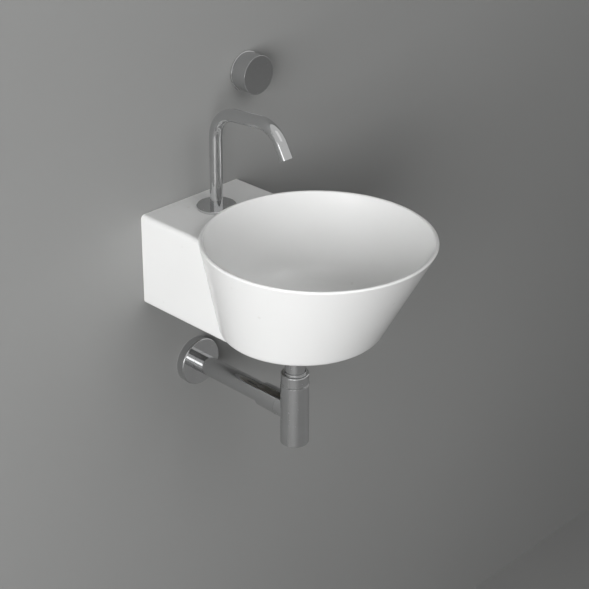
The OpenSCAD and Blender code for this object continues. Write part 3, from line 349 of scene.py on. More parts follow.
def soft_lamp(name, across, up, distance, size, power, for_mirrors=False):
    """A square lamp that looks at the basin, from an angle across to the left and one up."""
    across, up = math.radians(across), math.radians(up)
    level = math.cos(up)
    away = Vector((-math.sin(across) * level, -math.cos(across) * level, math.sin(up)))
    data = bpy.data.lights.new(name, "AREA")
    data.shape = "SQUARE"
    data.size = size
    data.energy = power
    lamp = bpy.data.objects.new(name, data)
    lamp.location = Vector(aim_point) + distance * away
    lamp.rotation_euler = (-away).to_track_quat("-Z", "Y").to_euler()
    lamp.visible_glossy = for_mirrors
    lamp.visible_diffuse = not for_mirrors
    scene.collection.objects.link(lamp)


soft_lamp("key_lamp", across=57.0, up=8.0, distance=3.4, size=1.9, power=90.0)
soft_lamp("wall_fill", across=84.0, up=12.0, distance=2.4, size=1.2, power=15.8)
soft_lamp("upper_fill", across=8.0, up=40.0, distance=3.2, size=1.8, power=30.0)
soft_lamp("right_fill", across=-40.0, up=35.0, distance=3.2, size=1.8, power=8.0)
soft_lamp("behind_wall", across=165.0, up=25.0, distance=3.0, size=1.8, power=55.0)
soft_lamp("stripe_card", across=76.5, up=3.0, distance=3.4, size=1.1, power=5.2,
          for_mirrors=True)
soft_lamp("low_card", across=50.0, up=3.0, distance=3.4, size=1.1, power=7.6,
          for_mirrors=True)
soft_lamp("upper_card", across=8.0, up=55.0, distance=3.2, size=1.8, power=3.0,
          for_mirrors=True)

# %% The pale studio that the chrome shows
studio_tone = 0.60
studio_colour = (studio_tone, studio_tone, 0.99 * studio_tone, 1.0)
room_glow = 0.04

world = bpy.data.worlds.new("room")
world.use_nodes = True
scene.world = world
tree = world.node_tree
ray = tree.nodes.new("ShaderNodeLightPath")
seen = add_node(tree, "ShaderNodeMath", operation="MAXIMUM")
glow = add_node(tree, "ShaderNodeMath", operation="MAXIMUM")
glow.inputs[1].default_value = room_glow
join(tree, ray.outputs["Is Camera Ray"], seen.inputs[0])
join(tree, ray.outputs["Is Glossy Ray"], seen.inputs[1])
join(tree, seen.outputs["Value"], glow.inputs[0])
join(tree, glow.outputs["Value"], tree.nodes["Background"].inputs["Strength"])
tree.nodes["Background"].inputs["Color"].default_value = studio_colour

# %% Let mirrors see a paler floor, on the right and far out in front, where the lamps don't reach
# Each glow rises along its own direction over the floor, between two distances.
floor_glows = [((1.0, 0.0, 0.0), -0.2, 1.2, 0.10), ((-0.6, -0.8, 0.0), 1.95, 2.5, 0.33)]
glow_colour = (1.0, 1.0, 0.99, 1.0)

tree = floor_paint.node_tree
ray = tree.nodes.new("ShaderNodeLightPath")
place = object_place(tree)
glows = add_node(tree, "ShaderNodeMath", operation="ADD")
paler = add_node(tree, "ShaderNodeMath", operation="MULTIPLY")
for number, (direction, starts, full, strength) in enumerate(floor_glows):
    along = add_node(tree, "ShaderNodeVectorMath", operation="DOT_PRODUCT")
    along.inputs[1].default_value = direction
    rise = add_node(tree, "ShaderNodeMapRange")
    rise.inputs["From Min"].default_value = starts
    rise.inputs["From Max"].default_value = full
    rise.inputs["To Max"].default_value = strength
    join(tree, place, along.inputs[0])
    join(tree, along.outputs["Value"], rise.inputs["Value"])
    join(tree, rise.outputs["Result"], glows.inputs[number])
join(tree, ray.outputs["Is Glossy Ray"], paler.inputs[0])
join(tree, glows.outputs["Value"], paler.inputs[1])
join(tree, paler.outputs["Value"], tree.nodes["Principled BSDF"].inputs["Emission Strength"])
tree.nodes["Principled BSDF"].inputs["Emission Color"].default_value = glow_colour

# %% [markdown]
# ## Glazed ceramic
#
# The basin is cast vitreous china under a white glaze. The glaze is glassy, but it lies over clay
# that shrank in the fire, so its reflections waver a little, and a few greyish specks stay in it.
# The ground back and the hollow inside carry no glaze: they are matt, pale clay. A clear coat over
# a satin body gives the glaze its depth. The bare parts are told by their place.

# %% The glazed basin
glaze_colour = (0.880, 0.882, 0.876)
glaze_shade = [0.985 * c for c in glaze_colour]
clay_colour = (0.74, 0.72, 0.67)
clay_shade = [0.88 * c for c in clay_colour]
fleck_colour = (0.62, 0.60, 0.56, 1.0)
fleck_strength = 0.25
coat_weight = 0.55
clay_roughness = 0.5
hollow_half_width = 0.0915
hollow_top = 0.0365
hollow_front = -0.105
hollow_back = -0.0115
ground_back = -0.0003

glaze, tree, shader = start_material("glaze", glaze_colour, Roughness=0.34,
                                     Coat_Weight=coat_weight, Coat_Roughness=0.07, Coat_IOR=1.5)
place = object_place(tree)
split = add_node(tree, "ShaderNodeSeparateXYZ")
join(tree, place, split.inputs["Vector"])


def compare(tree, value, limit, below):
    """1 where a value lies below the limit, or above it."""
    node = add_node(tree, "ShaderNodeMath", operation="LESS_THAN" if below else "GREATER_THAN")
    join(tree, value, node.inputs[0])
    node.inputs[1].default_value = limit
    return node.outputs["Value"]


def combine(tree, operation, first, *others):
    """Chains values with one kind of sum."""
    for other in others:
        node = add_node(tree, "ShaderNodeMath", operation=operation)
        join(tree, first, node.inputs[0])
        join(tree, other, node.inputs[1])
        first = node.outputs["Value"]
    return first


width = add_node(tree, "ShaderNodeMath", operation="ABSOLUTE")
join(tree, split.outputs["X"], width.inputs[0])
in_hollow = combine(tree, "MULTIPLY",
                    compare(tree, width.outputs["Value"], hollow_half_width, True),
                    compare(tree, split.outputs["Z"], hollow_top, True),
                    compare(tree, split.outputs["Y"], hollow_front, False),
                    compare(tree, split.outputs["Y"], hollow_back, True))
bare = combine(tree, "MAXIMUM", in_hollow, compare(tree, split.outputs["Y"], ground_back, False))
glazed = add_node(tree, "ShaderNodeMath", operation="SUBTRACT")
glazed.inputs[0].default_value = 1.0
join(tree, bare, glazed.inputs[1])

# %% Glaze, clay and their unevenness
body = place_group(tree, ripple, place, Scale=7.0)
flecks = place_group(tree, specks, place, Scale=95.0, Share=0.018)
white = blend_colours(tree, body.outputs["Mask"], glaze_colour, glaze_shade)
flecked = add_node(tree, "ShaderNodeMix", data_type="RGBA")
flecked.inputs["B"].default_value = fleck_colour
faint = vary(tree, flecks.outputs["Mask"], 0.0, fleck_strength)
join(tree, white, flecked.inputs["A"])
join(tree, faint, flecked.inputs["Factor"])
clay_grain = place_group(tree, smears, place, Scale=60.0)
clay = blend_colours(tree, clay_grain.outputs["Mask"], clay_colour, clay_shade)
skin = add_node(tree, "ShaderNodeMix", data_type="RGBA")
join(tree, bare, skin.inputs["Factor"])
join(tree, flecked.outputs["Result"], skin.inputs["A"])
join(tree, clay, skin.inputs["B"])
join(tree, skin.outputs["Result"], shader.inputs["Base Color"])
film = place_group(tree, smears, place, Scale=9.0)
gloss = combine(tree, "ADD", vary(tree, film.outputs["Mask"], 0.30, 0.37),
                vary(tree, bare, 0.0, clay_roughness))
join(tree, gloss, shader.inputs["Roughness"])
join(tree, vary(tree, glazed.outputs["Value"], 0.0, coat_weight), shader.inputs["Coat Weight"])
waver = place_group(tree, ripple, place, Scale=26.0)
slow = bump(tree, shader, waver.outputs["Mask"], distance=0.00012, strength=0.5)
bare_grain = combine(tree, "MULTIPLY", clay_grain.outputs["Mask"], bare)
bump(tree, shader, vary(tree, bare_grain, 0.0, 1.0), distance=0.0004, strength=0.8, under=slow)
print("the glaze covers all but the back and the hollow")

# %% [markdown]
# ## Chrome
#
# The tap, the knob and the trap are polished brass under chrome. Chrome is a mirror, so most of its
# look comes from the room: what makes it real is that the mirror is not perfect. Fingers leave
# faint smears that blur it, water leaves dried specks, and polishing leaves a slow wave in it.

# %% Chrome plate
chrome_colour = (0.66, 0.665, 0.67)
dull_chrome = (0.56, 0.565, 0.57)
smear_dulling = 0.25
chrome, tree, shader = start_material("chrome_plate", chrome_colour, Metallic=1.0, Roughness=0.07)
place = object_place(tree)
touched = place_group(tree, smears, place, Scale=34.0)
spots = place_group(tree, specks, place, Scale=330.0, Share=0.10)
blur = combine(tree, "ADD", vary(tree, touched.outputs["Mask"], 0.045, 0.13),
               vary(tree, spots.outputs["Mask"], 0.0, 0.22))
join(tree, blur, shader.inputs["Roughness"])
dulled = combine(tree, "MAXIMUM", spots.outputs["Mask"],
                 vary(tree, touched.outputs["Mask"], 0.0, smear_dulling))
join(tree, blend_colours(tree, dulled, chrome_colour, dull_chrome), shader.inputs["Base Color"])
polish = place_group(tree, ripple, place, Scale=55.0)
bump(tree, shader, polish.outputs["Mask"], distance=0.00003, strength=0.35)

# %% [markdown]
# ## Metals that stay hidden
#
# Behind the wall and under the deck nothing is polished. The valve, the shank and the locknuts are
# turned brass, dull and a little brown, with the grooves of the lathe round their axes. The studs,
# nuts and washers are zinc-plated steel, grey with a mottled spangle. A turned finish needs to know
# its axis, so each axis gets a copy of the brass whose pattern is moved there by a Mapping node.

# %% Turned brass
brass_colour = (0.60, 0.43, 0.19)
brown_colour = (0.33, 0.22, 0.10)
mm = 0.001
tap_y, waste_y = -58.0, -228.0
knob_centre = (118.0, 0.0, 226.0)
no_turn = (0.0, 0.0, 0.0)


def turned_brass(name, point, turn, roughness):
    """Brass with grooves round an axis, given by a point on it in mm and its turn from Z."""
    material, tree, shader = start_material(name, brass_colour, Metallic=1.0, Roughness=roughness)
    place = object_place(tree)
    centre = add_node(tree, "ShaderNodeMapping", vector_type="TEXTURE",
                      Location=[c * mm for c in point], Rotation=turn)
    join(tree, place, centre.inputs["Vector"])
    lathe = place_group(tree, turning, centre.outputs["Vector"], Scale=700.0)
    stain = place_group(tree, smears, place, Scale=45.0).outputs["Mask"]
    join(tree, blend_colours(tree, stain, brass_colour, brown_colour), shader.inputs["Base Color"])
    join(tree, vary(tree, stain, roughness, roughness + 0.22), shader.inputs["Roughness"])
    bump(tree, shader, lathe.outputs["Height"], distance=0.00004, strength=0.45)
    return material


tap_brass = turned_brass("brass_of_the_tap", (0.0, tap_y, 0.0), no_turn, roughness=0.24)
waste_brass = turned_brass("brass_of_the_waste", (0.0, waste_y, 0.0), no_turn, roughness=0.26)
valve_brass = turned_brass("brass_of_the_valve", knob_centre, upright, roughness=0.30)

# %% Zinc plate
zinc_colour = (0.52, 0.53, 0.54)
dark_flake, light_flake = (0.46, 0.47, 0.49), (0.60, 0.61, 0.62)
zinc, tree, shader = start_material("zinc_plate", zinc_colour, Metallic=1.0, Roughness=0.34)
place = object_place(tree)
spangle = add_node(tree, "ShaderNodeTexVoronoi", Scale=420.0)
join(tree, place, spangle.inputs["Vector"])
flake = add_node(tree, "ShaderNodeSeparateColor")
join(tree, spangle.outputs["Color"], flake.inputs["Color"])
flakes = blend_colours(tree, flake.outputs["Red"], dark_flake, light_flake)
join(tree, flakes, shader.inputs["Base Color"])
handled = place_group(tree, smears, place, Scale=50.0)
join(tree, vary(tree, handled.outputs["Mask"], 0.28, 0.52), shader.inputs["Roughness"])
bump(tree, shader, flake.outputs["Green"], distance=0.00002, strength=0.3)

# %% Wire of the screen
wire_colour = (0.42, 0.43, 0.44)
lime_colour = (0.66, 0.65, 0.62)
screen_wire, tree, shader = start_material("screen_wire", wire_colour, Metallic=1.0, Roughness=0.32)
place = object_place(tree)
lime = place_group(tree, specks, place, Scale=900.0, Share=0.35).outputs["Mask"]
join(tree, blend_colours(tree, lime, wire_colour, lime_colour), shader.inputs["Base Color"])
join(tree, vary(tree, lime, 0.30, 0.65), shader.inputs["Roughness"])

# %% [markdown]
# ## Rubber, plastic and the valve's discs
#
# The seals are black rubber, matt with a grey bloom. The sleeves round the studs and the small
# pieces inside the knob and the nozzle are moulded plastic with the fine grain of their mould. The
# two discs of the cartridge are sintered alumina, lapped flat: off-white and faintly mottled.

# %% Rubber
rubber_colour = (0.018, 0.018, 0.019)
fresh_rubber, bloomed_rubber = (0.016, 0.016, 0.017), (0.045, 0.045, 0.046)
rubber, tree, shader = start_material("seal_rubber", rubber_colour, Roughness=0.62,
                                      Specular_IOR_Level=0.4)
place = object_place(tree)
bloom = place_group(tree, smears, place, Scale=70.0).outputs["Mask"]
grain = place_group(tree, ripple, place, Scale=1400.0)
join(tree, blend_colours(tree, bloom, fresh_rubber, bloomed_rubber), shader.inputs["Base Color"])
join(tree, vary(tree, bloom, 0.55, 0.8), shader.inputs["Roughness"])
bump(tree, shader, grain.outputs["Mask"], distance=0.00003, strength=0.4)


# %% Moulded plastic and alumina
def moulded(name, colour, shade, roughness, grain_scale):
    """A moulded or sintered body with a fine grain and a faint mottle."""
    material, tree, shader = start_material(name, colour, Roughness=roughness)
    place = object_place(tree)
    mottle = place_group(tree, ripple, place, Scale=120.0).outputs["Mask"]
    grain = place_group(tree, ripple, place, Scale=grain_scale)
    join(tree, blend_colours(tree, mottle, colour, shade), shader.inputs["Base Color"])
    join(tree, vary(tree, mottle, roughness, roughness + 0.1), shader.inputs["Roughness"])
    bump(tree, shader, grain.outputs["Mask"], distance=0.00003, strength=0.35)
    return material


plastic = moulded("moulded_plastic", (0.78, 0.78, 0.76), (0.73, 0.73, 0.71), roughness=0.38,
                  grain_scale=1600.0)
alumina = moulded("lapped_alumina", (0.84, 0.82, 0.77), (0.80, 0.78, 0.72), roughness=0.30,
                  grain_scale=2600.0)

# %% Dress the frame's own pieces
looks = {"glazed_ceramic": glaze, "chrome": chrome, "brass": tap_brass, "black_rubber": rubber,
         "zinc_steel": zinc, "white_plastic": plastic, "screen_steel": screen_wire,
         "alumina": alumina}
other_axes = {"valve_body": valve_brass, "cartridge_body": valve_brass,
              "valve_spindle": valve_brass, "waste_locknut": waste_brass}
slots = {p["node"]: p["material_slot"] for p in frame["record"]["subparts"]}
for name, piece in nodes.items():
    piece.data.materials.clear()
    piece.data.materials.append(other_axes.get(name, looks[slots[name]]))
print("finishes:", sorted({m.name for m in looks.values()} | {m.name for m in other_axes.values()}))

# %% [markdown]
# ## Threads, nuts and a screen
#
# The drawing keeps the threads as plain cylinders, which is enough for fits and for motion. A
# maker who looks behind the deck expects real ones. A thread could be carved from a rod with a
# Boolean, but a helix cut that way gives thousands of slivers. Here it is built the way a spring
# is: a small trapezoid is wound round the axis by a Screw modifier and sits on a turned core, into
# which it sinks a little. Both shells are closed, and the crest keeps the drawn radius.
#
# Everything is modelled upright on the Z axis, as on a lathe, and carried to its place at the end.

# %% Drawing and turning
tan_30 = 0.577
merge_distance = 0.002 * mm
smooth_angle = math.radians(32)


def only(piece):
    """Selects one object and nothing else."""
    bpy.ops.object.select_all(action="DESELECT")
    piece.select_set(True)
    bpy.context.view_layer.objects.active = piece


def draw_outline(name, points, closed):
    """Draws half a section beside the axis: a vertex, extruded from point to point.

    A point is a radius and a height in mm.
    """
    bpy.ops.object.select_all(action="DESELECT")
    bpy.ops.mesh.primitive_plane_add(size=mm)
    piece = bpy.context.object
    piece.name = name
    bpy.ops.object.mode_set(mode="EDIT")
    bpy.ops.mesh.select_all(action="SELECT")
    bpy.ops.mesh.merge(type="CENTER")
    radius, height = points[0]
    bpy.ops.transform.translate(value=(radius * mm, 0.0, height * mm))
    for new_radius, new_height in points[1:]:
        step = ((new_radius - radius) * mm, 0.0, (new_height - height) * mm)
        bpy.ops.mesh.extrude_vertices_move(TRANSFORM_OT_translate={"value": step})
        radius, height = new_radius, new_height
    bpy.ops.object.mode_set(mode="OBJECT")
    if closed:
        for number, vertex in enumerate(piece.data.vertices):
            vertex.select = number in (0, len(points) - 1)
        bpy.ops.object.mode_set(mode="EDIT")
        bpy.ops.mesh.edge_face_add()
        bpy.ops.object.mode_set(mode="OBJECT")
    return piece


def close_shell(piece):
    """Merges double vertices, fills what is open and turns the faces outwards."""
    only(piece)
    bpy.ops.object.mode_set(mode="EDIT")
    bpy.ops.mesh.select_all(action="SELECT")
    bpy.ops.mesh.remove_doubles(threshold=merge_distance)
    bpy.ops.mesh.fill_holes(sides=0)
    bpy.ops.mesh.select_all(action="SELECT")
    bpy.ops.mesh.normals_make_consistent(inside=False)
    bpy.ops.object.mode_set(mode="OBJECT")


def turned(name, points, closed=False, steps=64):
    """A piece as it comes off a lathe: the outline is spun once round the Z axis."""
    piece = draw_outline(name, points, closed)
    only(piece)
    bpy.ops.object.mode_set(mode="EDIT")
    bpy.ops.mesh.select_all(action="SELECT")
    bpy.ops.mesh.spin(steps=steps, angle=math.tau, center=(0.0, 0.0, 0.0), axis=(0.0, 0.0, 1.0))
    bpy.ops.object.mode_set(mode="OBJECT")
    close_shell(piece)
    return piece


# %% Modifiers: cutting a piece and winding a thread
def apply_modifier(piece, modifier):
    """Applies a modifier, so that the mesh itself has the shape."""
    only(piece)
    bpy.ops.object.modifier_apply(modifier=modifier.name)


def cut_with(piece, tool, operation):
    """Shapes a piece by a Boolean with a tool, which is thrown away afterwards."""
    cut = piece.modifiers.new(operation.lower(), "BOOLEAN")
    cut.operation = operation
    cut.solver = "EXACT"
    cut.object = tool
    apply_modifier(piece, cut)
    bpy.data.objects.remove(tool)


def wound_thread(name, core, crest, pitch, low, high, flank=tan_30, run_out=8, steps=24):
    """The ridge of a right-hand thread between two heights; it dives into the core at both ends."""
    sunk = 0.15
    top, widest = pitch / 16, 0.49 * pitch
    foot = min(widest, top + (crest - core + sunk) * flank)
    section = [(core - sunk, -foot), (crest, -top), (crest, top), (core - sunk, foot)]
    ridge = draw_outline(name, [(r, low + foot + z) for r, z in section], closed=True)
    screw = ridge.modifiers.new("helix", "SCREW")
    screw.axis = "Z"
    screw.angle = math.tau
    screw.screw_offset = pitch * mm
    screw.iterations = int((high - low - 2 * foot) / pitch)
    screw.steps = screw.render_steps = steps
    apply_modifier(ridge, screw)
    rings = len(ridge.data.vertices) // len(section)
    for ring in list(range(run_out)) + list(range(rings - run_out, rings)):
        from_end = min(ring, rings - 1 - ring)
        shrink = 1.0 - (1.0 - (core - sunk) / crest) * (1.0 - from_end / run_out)
        for vertex in ridge.data.vertices:
            vertex.select = vertex.index // len(section) == ring
        bpy.ops.object.mode_set(mode="EDIT")
        bpy.ops.transform.resize(value=(shrink, shrink, 1.0), center_override=(0.0, 0.0, 0.0))
        bpy.ops.object.mode_set(mode="OBJECT")
    close_shell(ridge)
    return ridge


# %% Joining, placing and handing over
up, into_wall, out_of_wall = (0, 0, 1), (0, 1, 0), (0, -1, 0)


def joined(name, *parts):
    """Makes one object of several shells."""
    only(parts[0])
    for part in parts[1:]:
        part.select_set(True)
    bpy.ops.object.join()
    bpy.context.object.name = name
    return bpy.context.object


def set_in_place(piece, point, direction):
    """Turns a piece from the Z axis to a direction and carries it to a point in mm."""
    piece.location = [c * mm for c in point]
    piece.rotation_euler = Vector(direction).to_track_quat("Z", "Y").to_euler()
    only(piece)
    bpy.ops.object.transform_apply(location=True, rotation=True, scale=True)


def copied(piece, shift):
    """A second piece with its own mesh, moved by a step in mm."""
    only(piece)
    bpy.ops.object.duplicate(linked=False)
    twin = bpy.context.object
    twin.location = [c * mm for c in shift]
    bpy.ops.object.transform_apply(location=True, rotation=True, scale=True)
    return twin


def hand_over(piece, body, slot_name, material, *stands_for):
    """Gives a piece its shading, finish and body, and hides the node that it stands for."""
    only(piece)
    bpy.ops.object.shade_smooth_by_angle(angle=smooth_angle)
    piece.data.materials.clear()
    piece.data.materials.append(material)
    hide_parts(*stands_for)
    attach(piece, body)
    corners = [piece.matrix_world @ vertex.co for vertex in piece.data.vertices]
    low = [round(min(c[i] for c in corners) / mm, 2) for i in range(3)]
    high = [round(max(c[i] for c in corners) / mm, 2) for i in range(3)]
    print(piece.name, len(piece.data.polygons), "faces", low, high)


# %% [markdown]
# ## The two studs
#
# A hanger stud has a wood thread at one end, which bites into the plug in the wall, and a machine
# thread at the other for the nut. Between them is a plain shank, and a thinner neck that the
# plastic sleeve closes round. The wood thread is coarse and sharp, with thin ridges far apart, and
# its core runs to a point.

# %% One hanger stud, and its twin
stud_apart = 130.0
stud_radius, machine_core, wood_core = 5.0, 4.08, 3.7
stud_core = [(0, -30), (3.6, -30), (machine_core, -29.3), (machine_core, -5.7), (4.4, -5.2),
             (4.4, 0), (4.8, 0), (stud_radius, 0.3), (stud_radius, 12.5), (wood_core, 14.0),
             (wood_core, 58.5), (1.1, 69.4), (0, 70)]
stud = joined("hanger_studs",
              turned("stud_core", stud_core),
              wound_thread("machine_thread", machine_core, stud_radius, pitch=1.5,
                           low=-28.9, high=-5.6),
              wound_thread("wood_thread", wood_core, stud_radius, pitch=4.0,
                           low=13.0, high=62.5, flank=0.40, run_out=18))
set_in_place(stud, (-stud_apart / 2, 0, 0), into_wall)
studs = joined("hanger_studs", stud, copied(stud, (stud_apart, 0, 0)))
hand_over(studs, "fixed", "zinc_steel", zinc, "fixing_studs")

# %% [markdown]
# ## Nuts
#
# A hexagon nut isn't a plain prism: its corners are turned off at both ends, which leaves a round
# face and six curved edges. That shape is what a prism and a double cone have in common, so a
# Boolean modifier intersects the two, and a second one takes the countersunk bore out. Both tools
# reach beyond the nut's ends, because a Boolean is least sure where two faces lie in one plane.

# %% Making a nut
def nut(name, flats, height, bore):
    """A hexagon nut on the Z axis, with turned corners and a countersunk bore of a given radius."""
    corner = flats / math.sqrt(3)
    clearance = 0.2
    around = corner + clearance
    face = 0.485 * flats
    slope = tan_30 * (around - face)
    beyond = 0.7
    inner = face - beyond / tan_30
    sink, over = 0.6, 1
    bpy.ops.object.select_all(action="DESELECT")
    bpy.ops.mesh.primitive_cylinder_add(vertices=6, radius=corner * mm, depth=height * mm,
                                        location=(0, 0, height / 2 * mm),
                                        rotation=(0, 0, math.radians(30)))
    piece = bpy.context.object
    piece.name = name
    bpy.ops.object.transform_apply(location=True, rotation=True, scale=True)
    envelope = turned("envelope", [(0, -beyond), (inner, -beyond), (around, slope),
                                   (around, height - slope), (inner, height + beyond),
                                   (0, height + beyond)], steps=96)
    hole = turned("hole", [(0, -over), (bore + sink + over, -over), (bore, sink),
                           (bore, height - sink), (bore + sink + over, height + over),
                           (0, height + over)], steps=96)
    cut_with(piece, envelope, "INTERSECT")
    cut_with(piece, hole, "DIFFERENCE")
    close_shell(piece)
    return piece


# %% The four nuts
fixing_nut_y = -25.0
tap_nut_height, waste_nut_height = 22.0, -101.0

fixing_nut = nut("fixing_nut", flats=17.0, height=8.0, bore=5.1)
set_in_place(fixing_nut, (-stud_apart / 2, fixing_nut_y, 0), into_wall)
fixing_nuts = joined("stud_nuts", fixing_nut, copied(fixing_nut, (stud_apart, 0, 0)))
hand_over(fixing_nuts, "fixed", "zinc_steel", zinc, "fixing_nuts")

tap_nut = nut("tap_back_nut", flats=38.0, height=9.0, bore=14.1)
set_in_place(tap_nut, (0, tap_y, tap_nut_height), up)
hand_over(tap_nut, "fixed", "brass", tap_brass, "tap_locknut")

waste_nut = nut("waste_back_nut", flats=52.0, height=9.0, bore=21.05)
set_in_place(waste_nut, (0, waste_y, waste_nut_height), up)
hand_over(waste_nut, "fixed", "brass", waste_brass, "waste_locknut")

# %% [markdown]
# ## The tap's threaded shank
#
# The shank passes through the deck. Its fine thread takes the back nut from below, and the thinner
# nipple under it has the coarser pipe thread that a supply hose screws onto. Its bore is wide at
# the top, for the foot of the spout and its snap ring, and narrow below.

# %% The shank
shank_radius, shank_core, shank_top = 14.0, 13.08, 53.0
pipe_radius, pipe_core, pipe_end = 10.45, 9.29, -28.0
foot_bore, ring_groove, water_bore = 10.05, 10.9, 5.5
shank_section = [(5.9, pipe_end), (8.8, pipe_end), (pipe_core, -27.4), (pipe_core, -12),
                 (12.5, -12), (shank_core, -11.3), (shank_core, 45.2), (shank_radius, 46.2),
                 (shank_radius, shank_top), (10.35, shank_top), (foot_bore, 52.6),
                 (foot_bore, 22.7), (ring_groove, 22.7), (ring_groove, 20.9),
                 (foot_bore, 20.9), (foot_bore, 17.9), (water_bore, 17.9), (water_bore, -27.6)]
shank = joined("threaded_shank",
               turned("shank_core", shank_section, closed=True, steps=72),
               wound_thread("shank_thread", shank_core, shank_radius, pitch=1.5,
                            low=-11.2, high=45.8, steps=36),
               wound_thread("pipe_thread", pipe_core, pipe_radius, pitch=1.814,
                            low=-27.3, high=-12.3, steps=32))
set_in_place(shank, (0, tap_y, 0), up)
hand_over(shank, "fixed", "brass", tap_brass, "tap_shank")

# %% [markdown]
# ## The screen in the nozzle
#
# The screen breaks the water into a soft stream and is what shows when one looks up into the spout.
# It is a fine mesh of wires in a ring. A grid is trimmed to a circle, each of its cells is inset,
# the inner faces are deleted, and what is left gets the thickness of wire from a Solidify modifier.

# %% The mesh and its ring
nozzle_tip = (0.0, -207.03, 170.82)
nozzle_axis = (0.0, 0.5, 0.866)
screen_radius = 6.8
screen_height = 2.3
grid_size, grid_cells = 14.0, 20
wire_half = 0.12
wire_thick = 0.3

bpy.ops.object.select_all(action="DESELECT")
bpy.ops.mesh.primitive_grid_add(x_subdivisions=grid_cells, y_subdivisions=grid_cells,
                                size=grid_size * mm, location=(0, 0, screen_height * mm))
wires = bpy.context.object
wires.name = "wires"
bpy.ops.object.transform_apply(location=True, rotation=True, scale=True)
bpy.ops.object.mode_set(mode="EDIT")
bpy.ops.mesh.select_mode(type="FACE")
bpy.ops.object.mode_set(mode="OBJECT")
for face in wires.data.polygons:
    face.select = math.hypot(face.center.x, face.center.y) > screen_radius * mm
bpy.ops.object.mode_set(mode="EDIT")
bpy.ops.mesh.delete(type="FACE")
bpy.ops.mesh.select_all(action="SELECT")
bpy.ops.mesh.inset(thickness=wire_half * mm, use_individual=True, use_boundary=True)
bpy.ops.mesh.delete(type="FACE")
bpy.ops.mesh.select_mode(type="VERT")
bpy.ops.object.mode_set(mode="OBJECT")
wire = wires.modifiers.new("wire", "SOLIDIFY")
wire.thickness = wire_thick * mm
wire.offset = 0.0
apply_modifier(wires, wire)
ring_section = [(6.4, 1.8), (6.6, 1.6), (7.05, 1.6), (7.25, 1.8), (7.25, 3.4), (7.05, 3.6),
                (6.6, 3.6), (6.4, 3.4)]
screen = joined("nozzle_screen", wires, turned("screen_ring", ring_section, closed=True))
set_in_place(screen, nozzle_tip, nozzle_axis)
hand_over(screen, "spout_set", "screen_steel", screen_wire, "aerator_screen")

# %% [markdown]
# ## The knob and its plate
#
# The knob is a plain drum, so its whole look lies in its edges. The front edge is nearly sharp and
# draws one fine line. The plate behind the knob has a bevel that shows the pale room above as a
# light arc, and a fine recess along the wall. Both pieces are turned from their sections, and the
# hole for the grub screw is cut last. A smooth-shaded arc would pull the flat face beside it out of
# true, so each arc is held by one more point on the flat.

# %% Sections with rolled edges
def rolled(centre_radius, centre_height, size, first, last, steps=8):
    """Points along a rolled edge: an arc about a centre, between two angles in degrees."""
    turns = [math.radians(first + (last - first) * i / steps) for i in range(steps + 1)]
    return [(centre_radius + size * math.cos(a), centre_height + size * math.sin(a)) for a in turns]


knob_radius = 31.0
knob_back, knob_front = 3.5, 30.5
front_roll, back_roll = 0.4, 0.5
inside_radius, inside_front = 27.0, 25.5
hub_radius, hub_back, hub_bore = 12.0, 8.0, 8.05
plate_radius, plate_bore, plate_front = 32.0, 16.3, 3.0
recess_radius, recess_front = 30.6, 1.3
bevel_back, bevel_radius = 2.05, 30.35
hold = 0.3

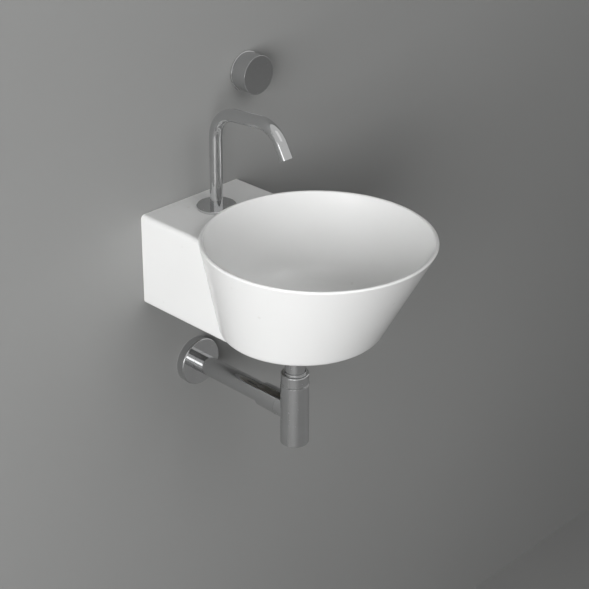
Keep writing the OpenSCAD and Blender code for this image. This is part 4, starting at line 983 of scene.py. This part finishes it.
knob_section = ([(0, knob_front), (knob_radius - front_roll - hold, knob_front)]
                + rolled(knob_radius - front_roll, knob_front - front_roll, front_roll, 90, 0, 4)
                + [(knob_radius, knob_front - front_roll - hold),
                   (knob_radius, knob_back + back_roll + hold)]
                + rolled(knob_radius - back_roll, knob_back + back_roll, back_roll, 0, -90)
                + [(inside_radius, knob_back), (inside_radius, inside_front),
                   (hub_radius, inside_front), (hub_radius, hub_back), (hub_bore, hub_back),
                   (hub_bore, inside_front), (0, inside_front)])
knob = turned("drum_knob", knob_section, steps=128)
plate_section = [(plate_bore, 0), (recess_radius, 0), (recess_radius, recess_front),
                 (plate_radius, recess_front), (plate_radius, bevel_back),
                 (bevel_radius, plate_front), (plate_bore, plate_front)]
plate = turned("back_plate", plate_section, closed=True, steps=128)

# %% The hole for the grub screw
grub_height, grub_middle = 16.0, -20.5
grub_radius, grub_depth = 2.15, 26.0
bpy.ops.object.select_all(action="DESELECT")
bpy.ops.mesh.primitive_cylinder_add(vertices=32, radius=grub_radius * mm, depth=grub_depth * mm,
                                    location=(0, grub_middle * mm, grub_height * mm),
                                    rotation=upright)
cut_with(knob, bpy.context.object, "DIFFERENCE")
close_shell(knob)
for piece in (knob, plate):
    set_in_place(piece, knob_centre, out_of_wall)
hand_over(knob, "knob_set", "chrome", chrome, "knob")
hand_over(plate, "fixed", "chrome", chrome, "knob_plate")

# %% [markdown]
# ## The cap of the bottle trap
#
# Close up, the trap's cap has two steps that catch the light: a low collar round the tube, and a
# fine foot where it meets the body. Each is a bright line in the photograph. The cap is turned anew
# with both, over the same bore and the same socket for the body's neck.

# %% The stepped cap
cap_radius, cap_top, cap_bottom = 22.5, -172.0, -191.85
foot_height, foot_step = 1.6, 0.45
cap_roll = 2.5
collar_radius, collar_top, collar_roll = 18.2, -168.8, 0.8
collar_hold = 0.2
tube_bore, bore_width, bore_depth = 16.1, 0.5, 0.3
socket_radius, socket_top = 20.6, -175.5
side = cap_radius - foot_step

cap_section = ([(socket_radius, cap_bottom), (cap_radius, cap_bottom),
                (cap_radius, cap_bottom + foot_height),
                (side, cap_bottom + foot_height + foot_step), (side, cap_top - cap_roll - hold)]
               + rolled(side - cap_roll, cap_top - cap_roll, cap_roll, 0, 90)
               + [(side - cap_roll - hold, cap_top), (collar_radius, cap_top),
                  (collar_radius, collar_top - collar_roll - collar_hold)]
               + rolled(collar_radius - collar_roll, collar_top - collar_roll, collar_roll,
                        0, 90, 5)
               + [(tube_bore + bore_width, collar_top), (tube_bore, collar_top - bore_depth),
                  (tube_bore, socket_top), (socket_radius, socket_top)])
cap = turned("stepped_trap_cap", cap_section, closed=True, steps=128)
set_in_place(cap, (0, waste_y, 0), up)
hand_over(cap, "fixed", "chrome", chrome, "trap_cap")
